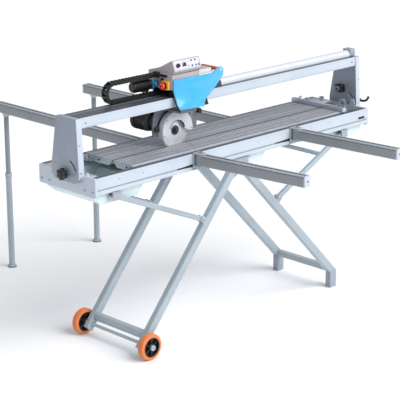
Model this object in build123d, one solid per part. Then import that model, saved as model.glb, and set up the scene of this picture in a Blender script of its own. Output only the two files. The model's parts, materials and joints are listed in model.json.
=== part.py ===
from build123d import *
import os
from math import sin, cos, radians, degrees, atan2, hypot

os.makedirs("parts", exist_ok=True)

# Wet tile saw with a travelling head on a tilting beam, on a folding wheeled stand.
# Millimetres. X runs along the table, -Y is the operator's side, +Z is up, the floor is z = 0.

# Base frame and table
BASE_X = 906.0            # half length inside the end plates
BASE_Y = 190.0            # half width over the rails
RAIL_W, RAIL_Z0, RAIL_Z1 = 30.0, 820.0, 898.0
END_T = 12.0
TABLE_Z, TABLE_T = 905.0, 30.0
TABLE_X0, TABLE_X1 = -672.0, 790.0
PLANK_Y0, PLANK_Y1 = -158.0, 155.0
SLOT_Y, SLOT_W = -25.0, 8.0
TRAY_Y, TRAY_T = 156.0, 3.0
SHALLOW_Z, SUMP_Z = 823.0, 765.0

# Bridge: two towers and the beam, tilting about the slot
TILT_Y, TILT_Z = -27.0, 900.0
TOWER_X0, TOWER_X1 = 919.0, 944.0
BEAM_Y0, BEAM_Y1, BEAM_Z0, BEAM_Z1 = -100.0, 12.0, 1104.0, 1150.0
BEAM_WALL = 5.0
ARC_R, ARC_W, LOCK_A = 66.0, 10.0, 75.0
DUCT_Y0, DUCT_Y1, DUCT_TOP = -70.0, -26.0, 1179.5

# Travelling head
HEAD_X0, HEAD_X1 = -372.0, -180.0
BLADE_X, BLADE_Z, BLADE_R, BLADE_T = -288.0, 973.0, 86.0, 2.2
GUARD_R, GUARD_X = 95.0, -284.0
KNOB_L, KNOB_R = (-392.0, 990.0), (-118.0, 1034.0)
CHAIN_Y0, CHAIN_Y1, CHAIN_T = -18.0, 12.0, 18.0
CHAIN_Z0, CHAIN_Z1, CHAIN_X, CHAIN_END = 1151.0, 1254.0, -645.5, 0.0

# Stand
LEG_Y, LEG_W, LEG_D = 180.0, 40.0, 30.0
HINGE_Z, HINGE_XL, HINGE_XR = 784.0, -54.0, -10.0
AXLE_X, WHEEL_R, WHEEL_Y, WHEEL_W, AXLE_R = -650.0, 62.5, 228.0, 34.0, 8.0
FOOT_X, FOOT_TOP = 664.0, 88.0
BRACE_OFF, BRACE_W = 34.0, 24.0
JOINT_SL, JOINT_SR = 300.0, 340.0
CATCH_XL, CATCH_XR, CATCH_Z = -800.0, 728.0, 799.0

# Side supports
ARM_W, ARM_H = 45.0, 50.0
FRONT_ARMS = {"front_arm_left": (-310.0, 7.0), "front_arm_right": (345.0, 5.0)}
FRONT_PIVOT_Y, FRONT_LEN, FRONT_Z0 = -219.0, 585.0, 848.0
REAR_ARM_X, REAR_ARM_END, REAR_ARM_Z0, REAR_LEG_Y = 300.0, 1292.0, 843.0, 1225.0

FIT = 0.05                # radial running clearance

nodes = {}


def put(name, *shapes):
    nodes[name] = [s for shape in shapes for s in shape.solids()]


def box(x0, x1, y0, y1, z0, z1):
    return Pos((x0 + x1) / 2, (y0 + y1) / 2, (z0 + z1) / 2) * Box(x1 - x0, y1 - y0, z1 - z0)


def soft(shape, axis, r):
    return fillet(shape.edges().filter_by(axis), r)


def cyl(axis, a, b, r, p, q):
    """Cylinder from a to b along an axis; p, q are the two other coordinates in X, Y, Z order."""
    half, mid = (b - a), (a + b) / 2
    place = {"x": Location((mid, p, q), (0, 90, 0)), "y": Location((p, mid, q), (90, 0, 0)),
             "z": Location((p, q, mid))}[axis]
    return place * Cylinder(r, half)


def slab(plane, points, a, b):
    """Polygon extruded from a to b: XZ points along Y, YZ points along X."""
    if plane == "xz":
        face = Plane.XZ * Polygon(*points, align=None)
        return Pos(0, a, 0) * extrude(face, b - a, dir=(0, 1, 0))
    face = Plane.YZ * Polygon(*points, align=None)
    return Pos(a, 0, 0) * extrude(face, b - a, dir=(1, 0, 0))


def bar(p, q, depth, width, y, wall=0.0, r=4.0):
    """Tube between two XZ points, its depth along Y, its ends closed."""
    (x0, z0), (x1, z1) = p, q
    length, turn = hypot(x1 - x0, z1 - z0), -degrees(atan2(z1 - z0, x1 - x0))
    body = soft(Box(length, depth, width), Axis.X, r)
    if wall:
        body -= Box(length - 2 * wall, depth - 2 * wall, width - 2 * wall)
    return Location(((x0 + x1) / 2, y, (z0 + z1) / 2), (0, turn, 0)) * body


def along(origin, direction, normal, s, n=0.0):
    return (origin[0] + direction[0] * s + normal[0] * n, origin[1] + direction[1] * s + normal[1] * n)


# ---- base frame ----
def rail(side):
    y0, y1 = sorted((side * BASE_Y, side * (BASE_Y - RAIL_W)))
    body = soft(box(-BASE_X, BASE_X, y0, y1, RAIL_Z0, RAIL_Z1), Axis.X, 2.0)
    body -= box(-BASE_X + 4, BASE_X - 4, y0 + 9, y1 - 4, RAIL_Z0 + 4, RAIL_Z1 - 4) if side < 0 else \
        box(-BASE_X + 4, BASE_X - 4, y0 + 4, y1 - 4, RAIL_Z0 + 4, RAIL_Z1 - 4)
    if side < 0:
        body -= box(-BASE_X - 1, BASE_X + 1, -BASE_Y - 1, -BASE_Y + 5, 840, 846)
    return body


put("base_front_rail", rail(-1))
put("base_rear_rail", rail(1))

ends = []
lock_y = TILT_Y - ARC_R * sin(radians(LOCK_A))
lock_z = TILT_Z + ARC_R * cos(radians(LOCK_A))
for side in (-1, 1):
    x0, x1 = sorted((side * BASE_X, side * (BASE_X + END_T)))
    plate = soft(box(x0, x1, -BASE_Y, BASE_Y, RAIL_Z0 - 8, RAIL_Z1), Axis.X, 8.0)
    plate += cyl("x", x0, x1, 14, lock_y, lock_z) + cyl("x", x0, x1, 22, TILT_Y, TILT_Z)
    plate += box(x0, x1, lock_y - 14, lock_y + 14, RAIL_Z1 - 10, lock_z)
    plate -= cyl("x", x0 - 1, x1 + 1, 10, TILT_Y, TILT_Z) + cyl("x", x0 - 1, x1 + 1, 4, lock_y, lock_z)
    ends.append(plate)
put("base_end_plates", *ends)
hinge_pins = [*[cyl("x", *sorted((side * BASE_X, side * (TOWER_X1 + 1))), 10, TILT_Y, TILT_Z)
                for side in (-1, 1)],
              *[cyl("x", *sorted((side * BASE_X, side * (TOWER_X1 + 6))), 4, lock_y, lock_z) for side in (-1, 1)]]

put("base_cross_members", *[box(x - 20, x + 20, -BASE_Y + RAIL_W, BASE_Y - RAIL_W, 851, TABLE_Z - TABLE_T)
                            for x in (-560, 60, 690)])

# ---- water tray: shallow channel with three deep sumps ----
top, w = 846.0, BASE_X - 4
outline = [(-w, top), (w, top), (w, 800), (w - 45, SUMP_Z), (620, SUMP_Z), (590, SHALLOW_Z), (205, SHALLOW_Z),
           (150, SUMP_Z), (-60, SUMP_Z), (-110, SHALLOW_Z), (-600, SHALLOW_Z), (-640, SUMP_Z),
           (-w + 45, SUMP_Z), (-w, 800)]
inner = [(-w + 3, top + 1), (w - 3, top + 1), (w - 3, 801.5), (w - 46, SUMP_Z + 3), (622, SUMP_Z + 3),
         (592, SHALLOW_Z + 3), (203, SHALLOW_Z + 3), (148, SUMP_Z + 3), (-58, SUMP_Z + 3),
         (-108, SHALLOW_Z + 3), (-602, SHALLOW_Z + 3), (-642, SUMP_Z + 3), (-w + 46, SUMP_Z + 3),
         (-w + 3, 801.5)]
put("water_tray", slab("xz", outline, -TRAY_Y, TRAY_Y) - slab("xz", inner, -TRAY_Y + TRAY_T, TRAY_Y - TRAY_T))
put("water_pump", soft(box(-780, -700, 40, 100, SUMP_Z + 3, 826), Axis.Z, 10)
    + cyl("z", 820, 838, 7, -740, 70))

# ---- table: two ribbed planks with a slot that opens out below ----
slot0, slot1 = SLOT_Y - SLOT_W / 2, SLOT_Y + SLOT_W / 2
z0 = TABLE_Z - TABLE_T


def plank(points, grooves):
    body = slab("yz", points, TABLE_X0, TABLE_X1)
    for y in grooves:
        body -= box(TABLE_X0 - 1, TABLE_X1 + 1, y - 2, y + 2, TABLE_Z - 2, TABLE_Z + 1)
    return body


put("plank_front", plank([(PLANK_Y0, z0), (slot0 - 24, z0), (slot0, TABLE_Z - 5), (slot0, TABLE_Z - 3),
                          (slot0 - 3, TABLE_Z), (PLANK_Y0 + 2, TABLE_Z), (PLANK_Y0, TABLE_Z - 2)], (-142, -118, -94, -70, -48))
    - cyl("x", TABLE_X0 - 1, TABLE_X0 + 30, 5, -140, TABLE_Z - 16))
put("plank_rear", plank([(slot1 + 24, z0), (PLANK_Y1, z0), (PLANK_Y1, TABLE_Z - 2), (PLANK_Y1 - 2, TABLE_Z),
                         (slot1, TABLE_Z), (slot1, TABLE_Z - 5)], (0, 26, 52, 78, 104, 130))
    - cyl("x", TABLE_X0 - 1, TABLE_X0 + 30, 5, 60, TABLE_Z - 16))

# ---- stand hinge, catches ----
brackets = []
for side in (-1, 1):
    u = box(-100, 36, 159, 201, 814, RAIL_Z0)
    for y in (159, 196):
        u += soft(box(-86, 22, y, y + 5, 762, 816), Axis.Y, 8)
    for x in (HINGE_XL, HINGE_XR):
        u -= cyl("y", 150, 210, AXLE_R, x, HINGE_Z)
    brackets.append(u if side > 0 else mirror(u, Plane.XZ))
hinge_pins += [cyl("y", *sorted((side * 157, side * 203)), AXLE_R, x, HINGE_Z)
               for side in (-1, 1) for x in (HINGE_XL, HINGE_XR)]
put("hinge_pins", *hinge_pins)
for x in (CATCH_XL, CATCH_XR):
    u = box(x - 22, x + 22, 163, 197, 815, RAIL_Z0)
    for y in (163, 193):
        u += box(x - 22, x + 22, y, y + 4, 782, 816)
    brackets += [u, mirror(u, Plane.XZ)]
put("stand_brackets", *brackets)


# ---- folding legs ----
def frame_axes(pivot, foot, side):
    length = hypot(foot[0] - pivot[0], foot[1] - pivot[1])
    d = ((foot[0] - pivot[0]) / length, (foot[1] - pivot[1]) / length)
    n = (-side * d[1], side * d[0])
    return length, d, n if n[1] > 0 else (-n[0], -n[1])


def leg(pivot, foot, d, n, length, s_joint, y, end):
    tube = bar(pivot, along(pivot, d, n, length + end), LEG_D, LEG_W, y, wall=3.0)
    tube += cyl("y", y - LEG_D / 2, y + LEG_D / 2, LEG_W / 2, *pivot)
    lug = bar(along(pivot, d, n, s_joint - 14, 32), along(pivot, d, n, s_joint + 14, 32), LEG_D, 28, y, r=2.0)
    lug -= bar(along(pivot, d, n, s_joint - 40, 41), along(pivot, d, n, s_joint + 40, 41), 21.0, 41, y, r=0.5)
    joint = along(pivot, d, n, s_joint, BRACE_OFF)
    tube += lug
    tube -= cyl("y", y - 40, y + 40, AXLE_R + FIT, *pivot) + cyl("y", y - 40, y + 40, 5.0, *joint)
    return tube


def brace(joint, end, y):
    body = bar(joint, end, 20.0, BRACE_W, y, wall=2.0)
    for p in (joint, end):
        body += cyl("y", y - 10, y + 10, BRACE_W / 2, *p)
    return body - cyl("y", y - 11, y + 11, 5.0 + FIT, *joint)


pivot_l, foot_l = (HINGE_XL, HINGE_Z), (AXLE_X, WHEEL_R)
len_l, d_l, n_l = frame_axes(pivot_l, foot_l, -1)
joint_l = along(pivot_l, d_l, n_l, JOINT_SL, BRACE_OFF)
legs = []
for y in (-LEG_Y, LEG_Y):
    legs.append(leg(pivot_l, foot_l, d_l, n_l, len_l, JOINT_SL, y, 28)
                - cyl("y", y - 40, y + 40, AXLE_R, *foot_l))
cross = along(pivot_l, d_l, n_l, 893)
side_y = LEG_Y - LEG_D / 2
axle = [cyl("y", -252, 252, AXLE_R, *foot_l)]
nuts = [cyl("y", *sorted((s * 246, s * 254)), 13, *foot_l) - cyl("y", -260, 260, AXLE_R, *foot_l) for s in (-1, 1)]
pins = [cyl("y", *sorted((s * side_y, s * (side_y + LEG_D))), 5.0, *joint_l) for s in (-1, 1)]
put("left_leg_frame", *legs, bar((cross[0] - 13, cross[1]), (cross[0] + 13, cross[1]), 2 * side_y, 34, 0, r=3),
    *axle, *nuts, *pins)

pivot_r, foot_r = (HINGE_XR, HINGE_Z), (FOOT_X, FOOT_TOP)
len_r, d_r, n_r = frame_axes(pivot_r, foot_r, 1)
joint_r = along(pivot_r, d_r, n_r, JOINT_SR, BRACE_OFF)
cutter = box(400, 900, -300, 300, -100, FOOT_TOP)
legs = [leg(pivot_r, foot_r, d_r, n_r, len_r, JOINT_SR, y, 60) - cutter for y in (-LEG_Y, LEG_Y)]
cross = along(pivot_r, d_r, n_r, 948)
pins = [cyl("y", *sorted((s * side_y, s * (side_y + LEG_D))), 5.0, *joint_r) for s in (-1, 1)]
put("right_leg_frame", *legs, bar((cross[0] - 13, cross[1]), (cross[0] + 13, cross[1]), 2 * side_y, 30, 0, r=3),
    *pins)
put("right_feet", *[soft(box(FOOT_X - 24, FOOT_X + 24, y - 17, y + 17, 0, FOOT_TOP), Axis.Z, 4)
                    for y in (-LEG_Y - 2, LEG_Y + 2)])

for name, joint, catch, sgn in (("left_braces", joint_l, CATCH_XL, -1), ("right_braces", joint_r, CATCH_XR, 1)):
    end = (catch, CATCH_Z)
    length = hypot(end[0] - joint[0], end[1] - joint[1])
    d = ((end[0] - joint[0]) / length, (end[1] - joint[1]) / length)
    mid = along(joint, d, (0, 0), 355)
    put(name, brace(joint, end, -LEG_Y), brace(joint, end, LEG_Y), cyl("y", -170, 170, 11, *mid))

# ---- wheels ----
for name, y in (("front", -WHEEL_Y), ("rear", WHEEL_Y)):
    y0, y1 = y - WHEEL_W / 2, y + WHEEL_W / 2
    tyre = fillet(cyl("y", y0, y1, WHEEL_R, *foot_l).edges(), 5) - cyl("y", y0 - 1, y1 + 1, 47, *foot_l)
    hub = cyl("y", y0, y1, 47, *foot_l) - cyl("y", y0 - 1, y1 + 1, AXLE_R + FIT, *foot_l)
    for a, b in ((y0 - 1, y0 + 8), (y1 - 8, y1 + 1)):
        hub -= cyl("y", a, b, 41, *foot_l) - cyl("y", a - 1, b + 1, 17, *foot_l)
    put(f"wheel_{name}_tyre", tyre)
    put(f"wheel_{name}_hub", hub)

# ---- front swing arms ----
plates = []
for name, (x, splay) in FRONT_ARMS.items():
    y, z1 = FRONT_PIVOT_Y, FRONT_Z0 + ARM_H
    plate = box(x - 25, x + 25, -BASE_Y - 6, -BASE_Y, 822, RAIL_Z1 + 6)
    for a, b in ((FRONT_Z0 - 9, FRONT_Z0 - 1), (z1 + 1, z1 + 6)):
        plate += cyl("z", a, b, 22, x, y) + box(x - 22, x + 22, y, -BASE_Y - 3, a, b)
    plate -= cyl("z", 800, 950, 6, x, y)
    plates += [plate, cyl("z", FRONT_Z0 - 11, z1 + 8, 6, x, y)]
    arm = soft(box(0, ARM_W, -FRONT_LEN, 0, FRONT_Z0, z1), Axis.Y, 4)
    arm -= box(4, ARM_W - 4, -FRONT_LEN + 8, -34, FRONT_Z0 + 4, z1 - 4)
    arm = Pos(-ARM_W / 2, 0, 0) * arm + cyl("z", FRONT_Z0, z1, ARM_W / 2, 0, 0)
    arm -= cyl("z", FRONT_Z0 - 1, z1 + 1, 6 + FIT, 0, 0)
    put(name, Pos(x, y, 0) * Rot(0, 0, splay) * arm)
put("front_arm_brackets", *plates)

# ---- rear support arms and telescopic legs ----
arms = []
for x in (-REAR_ARM_X, REAR_ARM_X):
    arm = soft(box(x - ARM_W / 2, x + ARM_W / 2, BASE_Y, REAR_ARM_END, REAR_ARM_Z0, REAR_ARM_Z0 + ARM_H), Axis.Y, 4)
    arm -= box(x - ARM_W / 2 + 4, x + ARM_W / 2 - 4, BASE_Y + 8, REAR_ARM_END - 8,
               REAR_ARM_Z0 + 4, REAR_ARM_Z0 + ARM_H - 4)
    arms += [arm, cyl("z", 360, REAR_ARM_Z0, 13, x, REAR_LEG_Y)]
put("rear_arms", *arms)
for name, x in (("rear_foot_left", -REAR_ARM_X), ("rear_foot_right", REAR_ARM_X)):
    put(name, cyl("z", 0, 10, 24, x, REAR_LEG_Y) + cyl("z", 5, 520, 16, x, REAR_LEG_Y)
        - cyl("z", 12, 521, 13 + FIT, x, REAR_LEG_Y))


# ---- bridge ----
def arc_slot(x0, x1):
    ring = cyl("x", x0, x1, ARC_R + ARC_W / 2, TILT_Y, TILT_Z) - cyl("x", x0, x1, ARC_R - ARC_W / 2, TILT_Y, TILT_Z)
    a0, a1 = radians(LOCK_A - 47), radians(LOCK_A)
    wedge = [(TILT_Y, TILT_Z)] + [(TILT_Y - 120 * sin(a), TILT_Z + 120 * cos(a)) for a in (a0, (a0 + a1) / 2, a1)]
    cut = ring & slab("yz", wedge, x0, x1)
    for a in (a0, a1):
        cut += cyl("x", x0, x1, ARC_W / 2, TILT_Y - ARC_R * sin(a), TILT_Z + ARC_R * cos(a))
    return cut


tower_outline = [(BEAM_Y0, BEAM_Z1), (26, BEAM_Z1), (34, 1135), (70, 925), (70, 885), (48, 862), (-86, 862),
                 (-112, 885), (-112, 915)]
for name, side in (("tower_left", -1), ("tower_right", 1)):
    x0, x1 = sorted((side * TOWER_X0, side * TOWER_X1))
    tower = slab("yz", tower_outline, x0, x1)
    tower -= arc_slot(x0 - 1, x1 + 1) + cyl("x", x0 - 1, x1 + 1, 10 + FIT, TILT_Y, TILT_Z)
    put(name, tower)
beam = soft(box(-TOWER_X0, TOWER_X0, BEAM_Y0, BEAM_Y1, BEAM_Z0, BEAM_Z1), Axis.X, 2)
beam -= box(-TOWER_X0 + 6, TOWER_X0 - 6, BEAM_Y0 + BEAM_WALL, BEAM_Y1 - BEAM_WALL,
            BEAM_Z0 + BEAM_WALL, BEAM_Z1 - BEAM_WALL)
put("beam", beam)
r = (DUCT_Y1 - DUCT_Y0) / 2
mid_y, duct_x1 = (DUCT_Y0 + DUCT_Y1) / 2, 905.0
duct = box(CHAIN_END + 14, duct_x1, DUCT_Y0, DUCT_Y1, BEAM_Z1, DUCT_TOP - r) \
    + cyl("x", CHAIN_END + 14, duct_x1, r, mid_y, DUCT_TOP - r)
duct = duct & box(-50, 940, -100, 50, BEAM_Z1, 1300)
put("beam_duct", duct, soft(box(duct_x1, TOWER_X1, mid_y - 25, mid_y + 25, BEAM_Z1, 1196), Axis.Z, 4))
put("laser_unit", soft(box(TOWER_X0 - 32, TOWER_X0, -32, 12, 958, 996), Axis.X, 4)
    + cyl("x", TOWER_X0 - 44, TOWER_X0 - 30, 13, -12, 977))

# lock knob on the left, lock lever on the right
star = cyl("x", -982, -956, 22, TILT_Y, TILT_Z) + cyl("x", -957, -946, 12, TILT_Y, TILT_Z)
for k in range(6):
    a = radians(60 * k)
    star += cyl("x", -982, -956, 8, TILT_Y + 20 * cos(a), TILT_Z + 20 * sin(a))
put("tilt_knob", star - cyl("x", -956, -940, 10 + FIT, TILT_Y, TILT_Z))
lever = cyl("x", 951, 968, 11, lock_y, lock_z) + soft(box(960, 968, lock_y - 46, lock_y, lock_z - 6, lock_z + 6),
                                                     Axis.X, 5) \
    + soft(box(960, 982, lock_y - 58, lock_y - 44, lock_z - 8, lock_z + 26), Axis.Z, 5)
put("tilt_lever", lever)

# ---- energy chain ----
mid_z, r1 = (CHAIN_Z0 + CHAIN_Z1) / 2, (CHAIN_Z1 - CHAIN_Z0) / 2
loop = cyl("y", CHAIN_Y0, CHAIN_Y1, r1, CHAIN_X, mid_z) - cyl("y", CHAIN_Y0 - 1, CHAIN_Y1 + 1, r1 - CHAIN_T, CHAIN_X, mid_z)
put("chain_loop", loop & box(CHAIN_X - 200, CHAIN_X, -100, 100, 1100, 1300))
put("chain_lower_run", box(CHAIN_X, CHAIN_END, CHAIN_Y0, CHAIN_Y1, CHAIN_Z0, CHAIN_Z0 + CHAIN_T))
put("chain_upper_run", box(CHAIN_X, HEAD_X0, CHAIN_Y0, CHAIN_Y1, CHAIN_Z1 - CHAIN_T, CHAIN_Z1))

# ---- travelling head ----
profile = [(28, 1098), (28, 1194), (-103.5, 1194), (-103.5, 1178), (-139.5, 1096), (-133.5, 1096), (-98, 1177),
           (-98, 1182), (18, 1182), (18, 1098)]
carriage = slab("yz", profile, HEAD_X0, HEAD_X1)
for x0, x1 in ((HEAD_X0, HEAD_X0 + 30), (HEAD_X1 - 30, HEAD_X1)):
    carriage += box(x0, x1, -98, -76, BEAM_Z1 + 0.4, 1183) + box(x0, x1, 12.4, 19, 1112, 1142)
put("carriage", carriage)

console = slab("yz", [(56, 1213), (56, 1258), (-18, 1279), (-98, 1320), (-116, 1270), (-102, 1256), (-102, 1213)],
               HEAD_X0, -204)
console += box(-345, -204, -95, 50, 1194, 1214) + box(-205, -127, -102, 30, 1232, 1255)
# the sloped panel lies in a recess of the console's face
face_t, face_b = (-98.0, 1320.0), (-116.0, 1270.0)
tilt = degrees(atan2(face_t[0] - face_b[0], face_t[1] - face_b[1]))
face_y, face_z = (face_t[0] + face_b[0]) / 2, (face_t[1] + face_b[1]) / 2


def on_panel(x, up, out, shape):
    """Place a shape modelled along local Y on the panel: up along it, out from its face."""
    a = radians(tilt)
    return Location((x, face_y + up * sin(a) - out * cos(a), face_z + up * cos(a) + out * sin(a)),
                    (-tilt, 0, 0)) * shape


def peg(r, a, b, x, up):
    """Round peg standing on the panel from depth a to b."""
    return on_panel(x, up, (a + b) / 2, Rot(90, 0, 0) * Cylinder(r, b - a))


console -= on_panel(-288, 0, 3, Box(157, 14, 44))
put("console_body", console)
keys = {"panel_button_1": (-256, 12), "panel_button_2": (-232, 12), "panel_button_3": (-256, -12),
        "panel_button_4": (-232, -12), "panel_button_5": (-215, -12)}
panel = on_panel(-288, 0, -2, Box(156.4, 4, 43.4)) - peg(3 + FIT, -5, 1, -345, -1) - peg(7.4, -5, 1, -278, -2)
for name, (x, up) in keys.items():
    panel -= peg(4.9, -5, 1, x, up)
    put(name, peg(4.5, -2, 2.5, x, up))
put("control_panel", panel)
put("speed_knob", peg(9, 0.4, 13, -345, -1) + peg(3, -3.5, 2, -345, -1))
put("start_button", peg(7, -2, 3.5, -278, -2))

put("estop_housing", soft(box(-386, HEAD_X0, -86, -44, 1183, 1224), Axis.X, 4)
    - cyl("x", -390, -373, 6.5, -62, 1202))
put("estop_button", fillet(cyl("x", -410, -397, 17, -62, 1202).edges(), 4) + cyl("x", -400, -378, 6, -62, 1202))

cover_xz = [(-372, 1231), (-127, 1229), (-84, 1251), (-66, 1251), (-53, 1238), (-55, 1207), (-101, 1170),
            (-178, 1131), (-197, 1120), (-217, 1093), (-366, 1099), (-372, 1120)]
sheet = [(-104, 1300), (-104, 1178), (-140.5, 1095), (-141, 1085), (-147.5, 1085), (-146.8, 1096), (-110, 1179),
         (-110, 1300)]
put("cover_plate", slab("xz", cover_xz, -180, -90) & slab("yz", sheet, -400, -40))
put("handle_bar", fillet(cyl("y", -103.5, 8, 9, -72, 1238).edges(), 2)
    + soft(box(-127, -74, -2, 8, 1234, 1244), Axis.Y, 3))
motor = cyl("x", -520, -412, 26, 10, 1203)
for k in range(6):
    motor -= cyl("x", -512 + 16 * k, -506 + 16 * k, 40, 10, 1203) - cyl("x", -520, -400, 23, 10, 1203)
put("feed_motor", motor, box(-412, HEAD_X0, -8, 28, 1196, 1212) + box(-412, -404, -14, 34, 1180, 1226))

# ---- cutting unit ----
by0, by1 = SLOT_Y - BLADE_T / 2, SLOT_Y + BLADE_T / 2
plate = cyl("y", -4, 6, 142, -264, 1000) & box(-500, 0, -20, 20, 952, 1078)
plate += cyl("y", -4, 6, 15, *KNOB_R)
plate += box(-330, -230, -112, 6, 1070, 1078) + box(-330, -230, -112, -106, 1070, 1120)
plate -= cyl("y", -10, 10, 8 + FIT, BLADE_X, BLADE_Z)
plate -= cyl("y", -10, 10, 5, *KNOB_L) + cyl("y", -10, 10, 5, *KNOB_R)
put("motor_plate", plate)
motor = fillet(cyl("y", 14, 112, 50, -398, 1028).edges(), 5) + cyl("y", 6, 15, 30, -385, 1024)
put("spindle_motor", motor)
put("blade", cyl("y", by0, by1, BLADE_R, BLADE_X, BLADE_Z) - cyl("y", -60, 30, 8, BLADE_X, BLADE_Z))
put("arbor", cyl("y", -44, 22, 8, BLADE_X, BLADE_Z),
    cyl("y", by1, by1 + 5, 22, BLADE_X, BLADE_Z) - cyl("y", -60, 30, 8, BLADE_X, BLADE_Z),
    cyl("y", by0 - 5, by0, 22, BLADE_X, BLADE_Z) - cyl("y", -60, 30, 8, BLADE_X, BLADE_Z),
    cyl("y", by0 - 14, by0 - 5, 12, BLADE_X, BLADE_Z) - cyl("y", -60, 30, 8, BLADE_X, BLADE_Z))
half = slab("xz", [(-420, 945), (-345, 945), (-330, 985), (BLADE_X, 985), (-236, 975), (-214, 962), (-170, 962),
                   (-170, 1100), (-420, 1100)], -70, 20)
shell = cyl("y", -43, -4, GUARD_R, GUARD_X, BLADE_Z) - cyl("y", -39.5, -8, GUARD_R - 4, GUARD_X, BLADE_Z)
shell -= cyl("y", -60, -10, 48, BLADE_X, BLADE_Z) + cyl("y", -60, 10, 30, BLADE_X, BLADE_Z)
put("blade_guard", shell & half)
for name, x, z in (("guard_knob_left", *KNOB_L), ("guard_knob_right", *KNOB_R)):
    put(name, fillet(cyl("y", -24, -8, 13, x, z).edges(), 3) + cyl("y", -9, 5, 5 - FIT, x, z))

# ---- mitre fence ----
fz = TABLE_Z + 0.4
fence = soft(box(738, 760, -172, 172, fz, 924), Axis.Y, 2)
put("fence_bar", fence, soft(box(760, 880, -30, 120, fz, fz + 5) - box(790, 886, -40, 20, 900, 920), Axis.Z, 6))
for name, x, y in (("fence_knob_1", 776, 96), ("fence_knob_2", 850, 64)):
    put(name, cyl("z", fz + 5, fz + 14, 6, x, y) + fillet(cyl("z", fz + 14, fz + 24, 13, x, y).edges(), 2))

# ---- origin: floor level, under the middle of the whole object ----
bounds = Compound([s for group in nodes.values() for s in group]).bounding_box()
shift = Pos(-(bounds.min.X + bounds.max.X) / 2, -(bounds.min.Y + bounds.max.Y) / 2, -bounds.min.Z)
print("origin shift", shift.position, "size", bounds.size, "nodes", len(nodes))
for name, group in nodes.items():
    moved = [shift * s for s in group]
    export_step(moved[0] if len(moved) == 1 else Compound(moved), f"parts/{name}.step")
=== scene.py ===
import json
import math

import bmesh
import bpy
from mathutils import Matrix, Vector
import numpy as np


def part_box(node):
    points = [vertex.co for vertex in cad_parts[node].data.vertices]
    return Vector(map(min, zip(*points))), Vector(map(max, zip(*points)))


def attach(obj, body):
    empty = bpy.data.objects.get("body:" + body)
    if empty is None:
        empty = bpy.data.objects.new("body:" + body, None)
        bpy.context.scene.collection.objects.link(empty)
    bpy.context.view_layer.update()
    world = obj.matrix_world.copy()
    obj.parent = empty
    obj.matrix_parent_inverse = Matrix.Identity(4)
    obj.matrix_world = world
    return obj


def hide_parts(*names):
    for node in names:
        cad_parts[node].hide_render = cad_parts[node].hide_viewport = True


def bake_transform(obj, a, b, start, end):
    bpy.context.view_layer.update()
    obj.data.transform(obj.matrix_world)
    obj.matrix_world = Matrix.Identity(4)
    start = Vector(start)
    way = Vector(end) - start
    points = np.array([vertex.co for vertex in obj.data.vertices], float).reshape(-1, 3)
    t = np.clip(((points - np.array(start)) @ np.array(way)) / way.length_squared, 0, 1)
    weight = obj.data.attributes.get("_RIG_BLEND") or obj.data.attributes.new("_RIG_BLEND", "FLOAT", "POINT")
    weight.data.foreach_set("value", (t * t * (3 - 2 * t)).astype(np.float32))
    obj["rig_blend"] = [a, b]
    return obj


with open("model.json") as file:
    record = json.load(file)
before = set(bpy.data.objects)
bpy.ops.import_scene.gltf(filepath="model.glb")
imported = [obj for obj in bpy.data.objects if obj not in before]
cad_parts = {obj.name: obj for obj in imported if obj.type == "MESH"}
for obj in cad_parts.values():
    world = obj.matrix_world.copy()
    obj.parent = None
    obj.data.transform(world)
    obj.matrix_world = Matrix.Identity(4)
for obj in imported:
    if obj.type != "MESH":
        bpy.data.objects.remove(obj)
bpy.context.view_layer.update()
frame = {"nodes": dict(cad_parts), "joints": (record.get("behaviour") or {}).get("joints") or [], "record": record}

bl_info = {
    "name": "Wet tile saw",
    "version": (1, 0, 0),
    "blender": (4, 5, 0),
    "location": "3D View > Sidebar > Tile saw",
    "description": "Finishes a rail saw for wet tile cutting: castings, extrusions, controls, chain, "
                   "blade and stand",
    "category": "Object",
}

PANEL_TAB = "Tile saw"

# Places that more than one piece shares, in machine millimetres.
TILT_Y, TILT_Z = -27, 900
HANDLE_X, HANDLE_Z = -72.0, 1238.0
GUARD_X, GUARD_Z = -284.0, 973.0
DIAL_X, DIAL_UP = -345, -1
ARM_PIVOT_Y, ARM_HALF = -219.0, 22.5

# Relief sizes of the finishes along X, Y and Z, in millimetres.
DIE_LINES, MOULD_GRAIN, PEBBLE = (400.0, 1.2, 1.2), (1.0, 1.0, 1.0), (3.0, 3.0, 3.0)

# The saw is drawn in machine millimetres: X along the table, Y from the middle of the base, Z from the floor.
MILLI = 0.001
MID_Y = sum(corner.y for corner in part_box("base_end_plates")) / 2
TO_FRAME = Matrix.Translation((0, MID_Y, 0)) @ Matrix.Scale(MILLI, 4)
SHARP = math.radians(32)
AXIS_TURN = {"x": Matrix.Rotation(math.pi / 2, 4, "Y"), "y": Matrix.Rotation(-math.pi / 2, 4, "X"),
             "z": Matrix.Identity(4)}


def linear(code):
    """An sRGB hex colour as linear red, green, blue and alpha."""
    parts = [int(code[k:k + 2], 16) / 255 for k in (0, 2, 4)]
    return (*[c / 12.92 if c <= 0.04045 else ((c + 0.055) / 1.055) ** 2.4 for c in parts], 1.0)


def span(node):
    """Low and high corner of a CAD node in machine millimetres, as two vectors."""
    return [Vector((c.x, c.y - MID_Y, c.z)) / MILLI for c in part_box(node)]


def node_centre(node):
    """Middle of a CAD node in machine millimetres."""
    low, high = span(node)
    return (low + high) / 2


def axis_place(axis, along, p, q):
    """Matrix that puts a shape made round Z on an axis through (p, q), its origin at a distance along it."""
    where = {"x": (along, p, q), "y": (p, along, q), "z": (p, q, along)}[axis]
    return Matrix.Translation(where) @ AXIS_TURN[axis]


def around(axis, p, q, angle):
    """Matrix that turns a shape about the axis through (p, q)."""
    where = Vector({"x": (0, p, q), "y": (p, 0, q), "z": (p, q, 0)}[axis])
    return Matrix.Translation(where) @ Matrix.Rotation(angle, 4, axis.upper()) @ Matrix.Translation(-where)


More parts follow.
